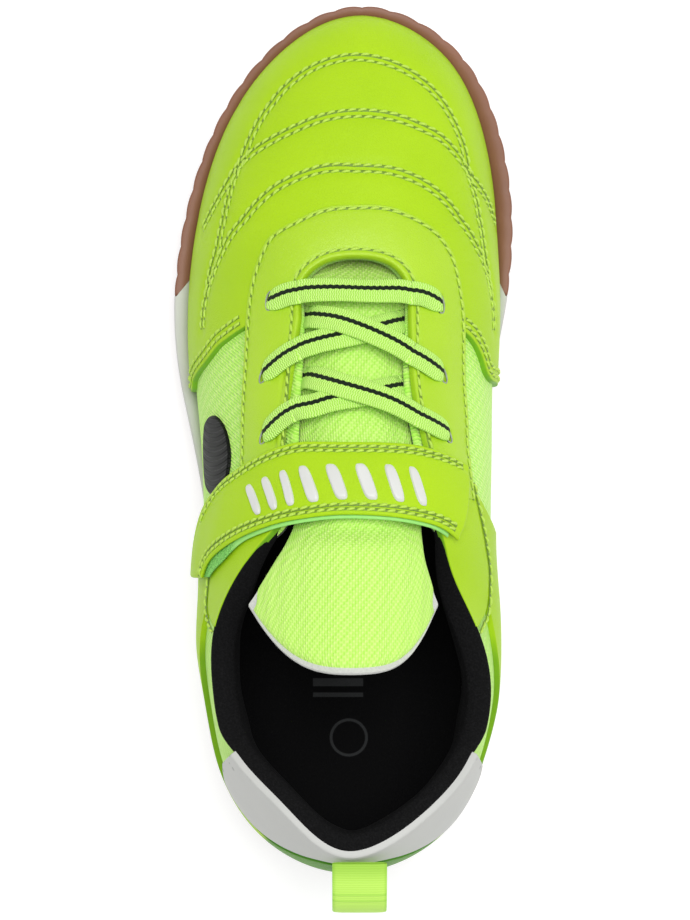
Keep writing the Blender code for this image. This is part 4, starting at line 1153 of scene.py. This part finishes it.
reach = station(0.40)
t = -reach + 2.0 * reach * crowded(420)
full = smooth(reach - np.abs(t), 0.0, 0.05)[:, None]
beside = smooth(np.abs(t), PATCH_REACH - 0.004, PATCH_REACH + 0.014)[:, None]
start = ROLL_WIDER * beside - ROLL_START
radius = ROLL_RADIUS * (0.35 + 0.65 * full) + 0.5 * ROLL_WIDER * beside
edge_points = skin(t, 1.0)[:, None]
normal = skin_normal(t, 0.985)[:, None]
rise = unit(skin(t, 1.0) - skin(t, 0.96))[:, None]
a = np.linspace(-0.7, np.pi, 19)[None, :, None]
wrinkle = 1.0 + 0.05 * np.sin(t * 190.0 + 2.0 * np.sin(t * 37.0))[:, None, None]
roll = (edge_points + normal * (start[..., None] - radius[..., None] * (1.0 - np.cos(a)))
        + rise * (ROLL_RISE * (0.3 + 0.7 * full[..., None]) * np.sin(a) - 0.0006) * wrinkle)
v = np.linspace(0.97, 0.38, 40)[None, :]
fall = (0.985 - v) / 0.60
bulge = PAD_DEPTH * full * np.sin(np.pi * np.clip(fall, 0, 1) ** 0.75) ** 0.8
soft = 0.0004 * full * np.sin(t[:, None] * 160.0 + 6.0 * v) * np.sin(np.pi * np.clip(fall, 0, 1))
depth = start - 2.0 * radius - bulge - soft
depth = depth - 0.9 * smooth(fall, 0.72, 1.0) * (depth - SHELL_IN)
inside = layer(t[:, None], v, depth)
lining_points = np.concatenate([roll, inside], 1)
lining = piece("collar_lining", [patchwork(lining_points)],
               finish("black_lining_cloth", lining_look, Specular_IOR_Level=0.15))
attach(lining, "root")
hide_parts("collar_pad")

# Tongue
# Two layers sewn round the edge: lime spacer knit with a waffle of small cells over thin
# foam, and a pale felt back that shows as a rim along the free end.
TONGUE_RISE = 0.0255
TONGUE_PUFF = 0.0036
# Share of the sole's length, half width s on the closed-over skin, and puff in hundredths
TONGUE_UNDER = ((0.80, 0.32, 0), (0.74, 0.32, 20), (0.68, 0.32, 30), (0.62, 0.32, 30),
                (0.56, 0.32, 35), (0.51, 0.30, 60), (0.47, 0.28, 90), (0.435, 0.25, 100))
# Hundredths of SOLE_LENGTH for a row's corners, two half widths in hundredths of
# BALL_WIDTH, rises of its middle and corners in hundredths of TONGUE_RISE, and how far
# it bows to the rear in hundredths of TONGUE_ARC
TONGUE_FREE = ((39.7, 16.5, 20.3, 16, -7, 0), (37.9, 18.7, 20.8, 35, -1, 5),
               (36.0, 21.6, 21.5, 50, 5, 18), (33.8, 24.9, 23.0, 71, 12, 45),
               (32.4, 27.0, 23.9, 88, 17, 72), (31.5, 28.4, 24.5, 100, 21, 100))
TONGUE_ARC = 0.015
TONGUE_RIM = 0.0012


def over(t, s):
    """The skin closed over the throat: s runs from the outer foot (-1) to the inner (1)."""
    t, s = np.broadcast_arrays(np.asarray(t, float), np.asarray(s, float))
    v = np.clip((1.0 - np.abs(s)) / (1.0 - BRIDGE), 0.0, 1.0)
    on_rib = skin(np.where(s < 0, t, 1.0 - t), v)
    ends = [skin(q, 1.0) for q in (t, 1.0 - t)]
    starts = [skin(q, 0.98) for q in (t, 1.0 - t)]
    chord = np.linalg.norm(ends[1] - ends[0], axis=-1, keepdims=True)
    leave = unit(ends[0] - starts[0]) * chord
    arrive = -unit(ends[1] - starts[1]) * chord
    h = np.clip((s + BRIDGE) / (2.0 * BRIDGE), 0.0, 1.0)[..., None]
    bridge = ((2 * h ** 3 - 3 * h ** 2 + 1) * ends[0] + (h ** 3 - 2 * h ** 2 + h) * leave
              + (3 * h ** 2 - 2 * h ** 3) * ends[1] + (h ** 3 - h ** 2) * arrive)
    return np.where((np.abs(s) < BRIDGE)[..., None], bridge, on_rib)


def over_normal(t, s):
    """Outward normal of the closed-over skin."""
    along_t = over(t + 2e-3, s) - over(t - 2e-3, s)
    along_s = over(t, np.minimum(s + 2e-3, 1.0)) - over(t, np.maximum(s - 2e-3, -1.0))
    return -unit(np.cross(along_t, along_s))


def over_layer(t, s, offset):
    t, s = np.broadcast_arrays(np.asarray(t, float), np.asarray(s, float))
    return over(t, s) + over_normal(t, s) * np.broadcast_to(offset, t.shape)[..., None]


def tongue_rows():
    """Rows of points across the tongue's upper face, from its hidden front end."""
    w = np.linspace(-1.0, 1.0, 17)
    rows = []
    for share, half, puff in TONGUE_UNDER:
        s = half * w
        bulge = TONGUE_PUFF * puff / 100.0 * np.clip(1.0 - (1.25 * s / BRIDGE) ** 2, 0.0, 1.0)
        rows.append(over_layer(station(share), s, SHELL_IN - GAP + bulge))
    front = rows[0]
    tucked = [front * np.array([0.75, 1.0, 1.0]) + np.array([0.0, 0.009, -0.0085]),
              front * np.array([0.95, 1.0, 1.0]) + np.array([0.0, 0.004, -0.0038])]
    free = []
    for place, lat, med, middle, corner, arc in TONGUE_FREE:
        half = np.where(w < 0, lat, med) / 100.0 * BALL_WIDTH
        y = along(place / 100.0) - TONGUE_ARC * arc / 100.0 * (1.0 - np.abs(w) ** np.where(w < 0, 3.0, 4.2))
        z = INSTEP_HEIGHT + (middle - (middle - corner) * w ** 2) / 100.0 * TONGUE_RISE
        free.append(np.column_stack([half * w, y, z]))
    return np.array(tucked + rows + free)


def tongue_surface(rows, cols):
    """The rows eased through both ways into a fine grid."""
    fine = through(tongue_rows(), rows)
    return through(fine.transpose(1, 0, 2), cols).transpose(1, 0, 2)


def waffle_look(field):
    """Lime spacer knit: upright ribs broken into small diamond cells, bright on top."""
    u, v = field.chart("X"), field.chart("Y")
    ribs = (v * 9500.0).wave()
    diamond = ((u + v) * 4300.0).wave() * ((u - v) * 4300.0).wave()
    courses = (u * 1500.0 + v * 2600.0).wave()
    cell = ribs * 0.30 + diamond * 0.50 + courses * 0.20
    cloud = field.noise(55.0, 3.0)
    lime = cell.blend((0.36, 0.76, 0.05), (0.80, 1.0, 0.34))
    return {"Base Color": (cloud * 0.3).blend(lime, (0.52, 0.88, 0.12)),
            "Roughness": 0.75 + cell * 0.1, "Height": cell * 0.22 + field.noise(900.0) * 0.08}


def felt_look(field):
    nap = field.noise(1800.0, 3.0)
    return {"Base Color": nap.blend((0.46, 0.47, 0.44), (0.66, 0.66, 0.63)), "Roughness": nap * 0.1 + 0.8,
            "Height": nap * 0.2}


rows, cols = 170, 91
full = tongue_surface(rows, cols)
u = np.linspace(0.0, 1.0, rows)[:, None]
w = np.linspace(-1.0, 1.0, cols)[None, :]
down = unit(np.cross(np.gradient(full, axis=1), np.gradient(full, axis=0)))
down = down * np.where(down[..., 2:] > 0, -1.0, 1.0)
half_width = 0.5 * np.linalg.norm(full[:, -1] - full[:, 0], axis=-1)[:, None]
run = np.cumsum(np.linalg.norm(np.diff(full, axis=0, prepend=full[:1]), axis=-1), 0)
late = smooth(u, 0.90, 0.97) * 0.8
inset_w = np.abs(w) * (1.0 - TONGUE_RIM * late / half_width)
inset_u = np.interp(run[-1, cols // 2] - TONGUE_RIM, run[:, cols // 2], u[:, 0])
fine_u = np.repeat(u * inset_u, cols, 1)
fine_w = np.sign(w) * inset_w
row, col = fine_u * (rows - 1), (fine_w + 1.0) * 0.5 * (cols - 1)
i, j = np.minimum(row.astype(int), rows - 2), np.minimum(col.astype(int), cols - 2)
p, q = (row - i)[..., None], (col - j)[..., None]
near, far = (full[i, k] * (1 - p) + full[i + 1, k] * p for k in (j, j + 1))
top = near * (1 - q) + far * q
end = np.sqrt(np.clip(1.0 - np.clip((u - 0.965) / 0.035, 0, 1) ** 2, 0, 1))
side_round = np.sqrt(np.clip(1.0 - np.abs(w) ** 12, 0, 1))
body = side_round * end
lap = top + down * (0.0009 * (1.0 - side_round) + 0.0014 * side_round * (1.0 - end))[..., None]
shelf = full + down * (0.0011 + 0.0002 * body)[..., None]
under = full + down * (0.0022 + 0.0014 * body)[..., None]
along_run, across_run = runs(top)
across_run = across_run - across_run[:, cols // 2:cols // 2 + 1]
chart = chart_of(along_run, across_run)
knit_face = patchwork(lap, chart, flip=True)
felt_face = patchwork(shelf, chart, flip=True)
felt_back = patchwork(under, chart)
brim, brim_low = (np.concatenate([face[:, 0], face[-1, 1:], face[::-1, -1][1:]]) for face in (shelf, under))
swell = 0.5 * (brim + brim_low) + unit(brim - np.roll(full, 1, 0)[rows // 2, cols // 2]) * 0.0003
felt_side = patchwork(np.stack([brim, swell, brim_low], 1))
waffle = finish("waffle_knit", waffle_look, Sheen_Weight=0.1)
felt = finish("pale_felt", felt_look)
tongue = piece("tongue_knit", [knit_face, felt_face, felt_back, felt_side], waffle, felt, pick=[0, 1, 1, 1])
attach(tongue, "root")
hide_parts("tongue")

# Strap
# Instep strap of lime leather, folded and double stitched along both edges and sewn to
# the inner side; green hook tape lies under it and shows along its rear edge. Its free
# outer end lies closed. A row of plain raised white bars decorates its face.
STRAP = (
    (0.466, 0.412, 0.366, 0.296), (0.480, 0.352, 0.381, 0.254), (0.495, 0.235, 0.394, 0.195),
    (0.501, 0.110, 0.406, 0.080), (0.502, -0.050, 0.408, -0.060), (0.500, -0.220, 0.396, -0.185),
    (0.486, -0.340, 0.384, -0.262), (0.466, -0.440, 0.373, -0.330), (0.444, -0.535, 0.361, -0.395),
    (0.418, -0.607, 0.349, -0.452), (0.380, -0.655, 0.336, -0.488), (0.332, -0.685, 0.324, -0.500),
)
STRAP_TOP = 0.0021
STRAP_DOWN = 0.46
STRAP_LOW = 0.56
STRAP_BOW = 0.018
STRAP_THICKNESS = 0.0011
HOOK_TOP = STRAP_TOP - 0.0012
HOOK_BOTTOM = STRAP_TOP - 0.0019
STRAP_SEAMS = (0.0013, 0.0026)


def strap_chart(u, w):
    """(share, s) on the strap: u from the inner to the outer end, w from rear to front."""
    u, w = np.broadcast_arrays(u, w)
    path = through(STRAP, 400)
    bow = STRAP_BOW * (1.0 - (1.0 - (2.0 * np.clip(w, 0.0, 1.0) - 1.0) ** 2) * (1.0 - u) ** 8)
    at = [np.interp(bow + (1.0 - STRAP_BOW) * u, np.linspace(0, 1, 400), path[:, k]) for k in range(4)]
    return at[2] + (at[0] - at[2]) * w, at[3] + (at[1] - at[3]) * w


def strap_at(u, w, offset):
    """Place on the strap at an offset over what it lies on, which is lower beside the eyestay."""
    share, s = strap_chart(u, w)
    raised = EYESTAY_TOP * (1.0 - smooth(-s, STRAP_DOWN, STRAP_LOW))
    return over_layer(station(share), s, offset + raised)


def strap_normal(u, w):
    share, s = strap_chart(u, w)
    return over_normal(station(share), s)


def rounded_slab(u, w, top, bottom, edge, relief=None):
    """Strap-like sheet: an upper face with rolled borders and a lower face."""
    base = strap_at(u, w, top)
    down_run, side_run = runs(base)
    short = (top - bottom) * (1 - quarter_round(from_border(down_run, side_run), edge))
    height = top - 0.55 * short + (relief(side_run, side_run[:, -1:]) if relief else 0.0)
    lower = bottom + 0.35 * short
    chart = chart_of(down_run, side_run)
    return [patchwork(strap_at(u, w, height), chart, flip=True), patchwork(strap_at(u, w, lower), chart)]


def strap_relief(run, width):
    """Puffed middle and troughs along the two pairs of seams, at a run from the rear edge."""
    trough = sum(np.exp(-((edge - 0.0019) / 0.0011) ** 2) for edge in (run, width - run))
    return 0.0004 * np.sin(np.pi * run / np.maximum(width, 1e-6)) - 0.00025 * trough


u = crowded(340)[:, None]
w = crowded(70)[None, :]
strap_grids = rounded_slab(u, w, STRAP_TOP, STRAP_TOP - STRAP_THICKNESS, 0.0008, strap_relief)
strap = piece("strap_leather", strap_grids, leather)
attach(strap, "root")
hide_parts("strap")


def hook_look(field):
    """Green hook tape: plain at first, then to its free end a dense fuzz, dark in between."""
    fuzz = field.cells(1900.0)
    cloud = field.noise(300.0, 3.0)
    color = fuzz.step(0.15, 0.75).blend((0.26, 0.76, 0.14), (0.12, 0.52, 0.06))
    color = (cloud * 0.5).blend(color, (0.42, 0.86, 0.24))
    plain = cloud.blend((0.26, 0.66, 0.14), (0.38, 0.78, 0.22))
    backing = 1.0 - field.chart("X").step(0.058, 0.062)
    return {"Base Color": backing.blend(color, plain), "Roughness": cloud * 0.1 + 0.75,
            "Height": (1.0 - fuzz) * (1.0 - backing) * 0.5}


u = 0.05 + 0.94 * crowded(220)[:, None]
w_rear = -0.06 - 0.15 * smooth(u, 0.62, 0.80)
w = w_rear + (0.98 - w_rear) * crowded(36)[None, :]
tape = finish("hook_tape", hook_look)
hook = piece("hook_tape", rounded_slab(u, w, HOOK_TOP, HOOK_BOTTOM, 0.0005), tape)
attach(hook, "root")
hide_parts("strap_lining")

fine_u = np.linspace(0.045, 0.985, 500)
dense_w = np.linspace(0.0, 1.0, 80)
reach = runs(strap_at(fine_u[:, None], dense_w[None, :], STRAP_TOP))[1]
rows = []
for back in STRAP_SEAMS:
    front = reach[:, -1] - back - 0.0009 * smooth(fine_u, 0.70, 0.88)
    for place, count in ((np.full(500, back), 500), (front, 420)):
        w_line = np.array([np.interp(at, row, dense_w) for at, row in zip(place, reach)])
        height = STRAP_TOP + strap_relief(place, reach[:, -1])
        points, normals = strap_at(fine_u, w_line, height), strap_normal(fine_u, w_line)
        rows.append((points[:count], normals[:count]))
strap_stitches = piece("strap_stitches", stitches(rows, 0.0024), thread)
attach(strap_stitches, "root")


def white_look(field):
    """Raised white rubber print, satin, with faint soiling."""
    cloud = field.noise(120.0, 3.0)
    return {"Base Color": cloud.blend((0.58, 0.59, 0.56), (0.70, 0.71, 0.68)),
            "Roughness": cloud * 0.15 + 0.35}


def signed(x, power):
    """The size of x to a power, with the sign of x."""
    return np.sign(x) * np.abs(x) ** power


def raised_bar(centre_u, length_w, half_u):
    """Low pillow with round ends on the strap's face: a superellipse dome."""
    a, c = np.meshgrid(np.linspace(0, 1, 10), np.arange(40) / 40 * 2 * np.pi, indexing="ij")
    x, y = signed(np.cos(c), 0.6) * a, signed(np.sin(c), 0.6) * a
    height = STRAP_TOP + 0.0003 + 0.0007 * np.clip(1.0 - a ** 8, 0, 1) ** 0.5
    return patchwork(strap_at(centre_u + half_u * x + 0.012 * y, 0.5 + length_w * y, height), round_v=True)


bars = [raised_bar(place, 0.235, 0.013) for place in np.linspace(0.20, 0.58, 8)]
motif = piece("strap_bars", bars, finish("white_rubber", white_look))
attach(motif, "root")

# Laces
# Five elastic bands, flat and 6 mm wide, with a fine dark stripe: one straight across and
# two crossed pairs over the tongue. The straight one goes down into a hole at each end,
# the others into a hole at one end and under the eyestay at the other.
LACE_WIDTH = 0.0062
LACE_THICKNESS = 0.0013
LACE_LIFT = 0.0008
STRIPE_PLACE = 0.0006
# Share of the sole's length, s, and height over the eyestay in millimetres
LACES = (
    ((0.676, -0.352, -1.6), (0.679, -0.325, 0.0), (0.722, -0.210, 0.1), (0.752, -0.040, 0.1),
     (0.733, 0.150, 0.1), (0.703, 0.262, 0.1), (0.673, 0.335, 0.0), (0.668, 0.358, -1.6)),
    ((0.668, -0.275, -5.6), (0.665, -0.235, -4.2), (0.662, -0.175, -1.6), (0.652, -0.060, 0.1),
     (0.623, 0.130, 0.4), (0.602, 0.250, 0.2), (0.580, 0.340, 0.1), (0.575, 0.368, -1.6)),
    ((0.662, 0.275, -5.6), (0.657, 0.235, -4.4), (0.651, 0.170, -2.4), (0.632, -0.020, -0.9),
     (0.619, -0.160, -0.5), (0.605, -0.255, 0.0), (0.580, -0.335, 0.0), (0.575, -0.358, -1.6)),
    ((0.582, -0.275, -5.6), (0.580, -0.235, -4.2), (0.577, -0.175, -1.6), (0.566, -0.050, 0.1),
     (0.551, 0.110, 0.4), (0.535, 0.220, 0.2), (0.512, 0.335, 0.1), (0.507, 0.360, -1.6)),
    ((0.572, 0.275, -5.6), (0.570, 0.235, -4.4), (0.566, 0.170, -2.4), (0.553, -0.055, -0.9),
     (0.544, -0.155, -0.5), (0.535, -0.250, 0.0), (0.512, -0.328, 0.0), (0.507, -0.352, -1.6)),
)


def lace_look(field):
    """Elastic braid: short ribs across, bright lime, with a 1 mm dark stripe."""
    u, v = field.chart("X"), field.chart("Y")
    ribs = (u * 11000.0 + (v * 5200.0).wave() * 2.2).wave()
    wander = (u * 4200.0).wave() * 0.00018
    off = field.math("ABSOLUTE", v - STRIPE_PLACE + wander)
    stripe = 1.0 - off.step(0.00046, 0.00064)
    lime = ribs.blend((0.42, 0.84, 0.08), (0.68, 1.0, 0.28))
    return {"Base Color": stripe.blend(lime, (0.004, 0.014, 0.003)), "Roughness": ribs * 0.1 + 0.62,
            "Height": ribs * 0.22 - stripe * 0.08}


def oval(count, width, power_x, thickness, power_z):
    """Section of a flat band as offsets across and up: a superellipse."""
    a = np.arange(count) / count * 2 * np.pi
    return signed(np.cos(a), power_x) * width / 2, signed(np.sin(a), power_z) * thickness / 2


def lace(rows):
    """Flat oval tube along a path on the closed-over skin; it narrows into its holes."""
    path = through(rows, 200)
    t, s = station(path[:, 0]), path[:, 1]
    centre = over_layer(t, s, EYESTAY_TOP + LACE_LIFT + path[:, 2] / 1000.0)
    normal = over_normal(t, s)
    ahead = unit(np.gradient(centre, axis=0))
    side = unit(np.cross(normal, ahead))
    up = np.cross(ahead, side)
    run = run_along(centre)
    narrow = 1.0 - 0.5 * np.exp(-((run[-1] - run) / 0.0024) ** 2)
    if rows[0][2] > -3.0:
        narrow = narrow * (1.0 - 0.5 * np.exp(-(run / 0.0024) ** 2))
    x, z = oval(28, LACE_WIDTH, 0.8, LACE_THICKNESS, 0.7)
    x = x[None, :] * narrow[:, None]
    front = np.where(side[:, 1:2] > 0, 1.0, -1.0)
    tube = centre[:, None] + side[:, None] * x[..., None] + up[:, None] * z[None, :, None]
    chart = chart_of(run[:, None], x * front)
    return patchwork(tube, chart, round_v=True, flip=True)


elastic = finish("striped_elastic", lace_look, Specular_IOR_Level=0.25)
for name, rows, nodes_replaced in (("lace_straight", LACES[:1], ["lace_bar"]),
                                   ("lace_pair_front", LACES[1:3], ["lace_cross_front"]),
                                   ("lace_pair_rear", LACES[3:5], ["lace_cross_rear"])):
    made = piece(name, [lace(row) for row in rows], elastic)
    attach(made, "root")
    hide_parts(*nodes_replaced)

# Pull loop
# A woven lime ribbon, 13 mm wide, folded into a loop and sewn on the back of the heel at
# two heights, so that it stands out to the rear.
LOOP_WIDTH = 0.0130
LOOP_THICKNESS = 0.0011
LOOP_REACH = 0.0096
LOOP_SIDE = 0.0022


def ribbon_look(field):
    """Woven lime ribbon: fine ribs across, a darker selvedge and two darker fold lines."""
    u, v = field.chart("X"), field.chart("Y")
    ribs = (u * 9800.0).wave()
    edge = field.math("ABSOLUTE", v).step(0.0056, 0.0062)
    lime = ribs.blend((0.50, 0.84, 0.10), (0.56, 0.90, 0.14))
    fold = sum(1.0 - field.math("ABSOLUTE", u - place).step(0.0002, 0.0005) for place in (0.0085, 0.0105))
    lime = (fold * 0.3 + edge * 0.35).blend(lime, (0.24, 0.62, 0.03))
    # Painted shadow: the first 6 mm of the ribbon, where it comes out from under the heel patch, is
    # darkened.
    top = 1.0 - u.step(0.0, 0.006)
    return {"Base Color": (top * 0.55).blend(lime, (0.20, 0.46, 0.01)), "Roughness": ribs * 0.1 + 0.6,
            "Height": ribs * 0.03 + edge * 0.05 - fold * 0.05}


u = np.linspace(0.0, 1.0, 90)
seat = 0.5 * LOOP_THICKNESS + GAP
ends = [layer(0.0, v, seat) for v in (0.95, 0.60)]
back = LOOP_REACH * (1.0 - np.abs(2.0 * u - 1.0) ** 2.8)
centre = ends[0] + (ends[1] - ends[0]) * u[:, None] + np.array([0.0, -1.0, 0.0]) * back[:, None]
centre[:, 0] = LOOP_SIDE
ahead = unit(np.gradient(centre, axis=0))
side = np.array([1.0, 0.0, 0.0])
up = np.cross(ahead, side)
x, z = oval(24, LOOP_WIDTH, 0.4, LOOP_THICKNESS, 0.6)
loop_points = centre[:, None] + side * x[None, :, None] + up[:, None] * z[None, :, None]
run = run_along(centre)
loop_points = patchwork(loop_points, chart_of(run[:, None], x[None, :]), round_v=True, flip=True)
loop = piece("pull_ribbon", [loop_points], finish("lime_ribbon_weave", ribbon_look))
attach(loop, "root")
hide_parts("pull_loop")
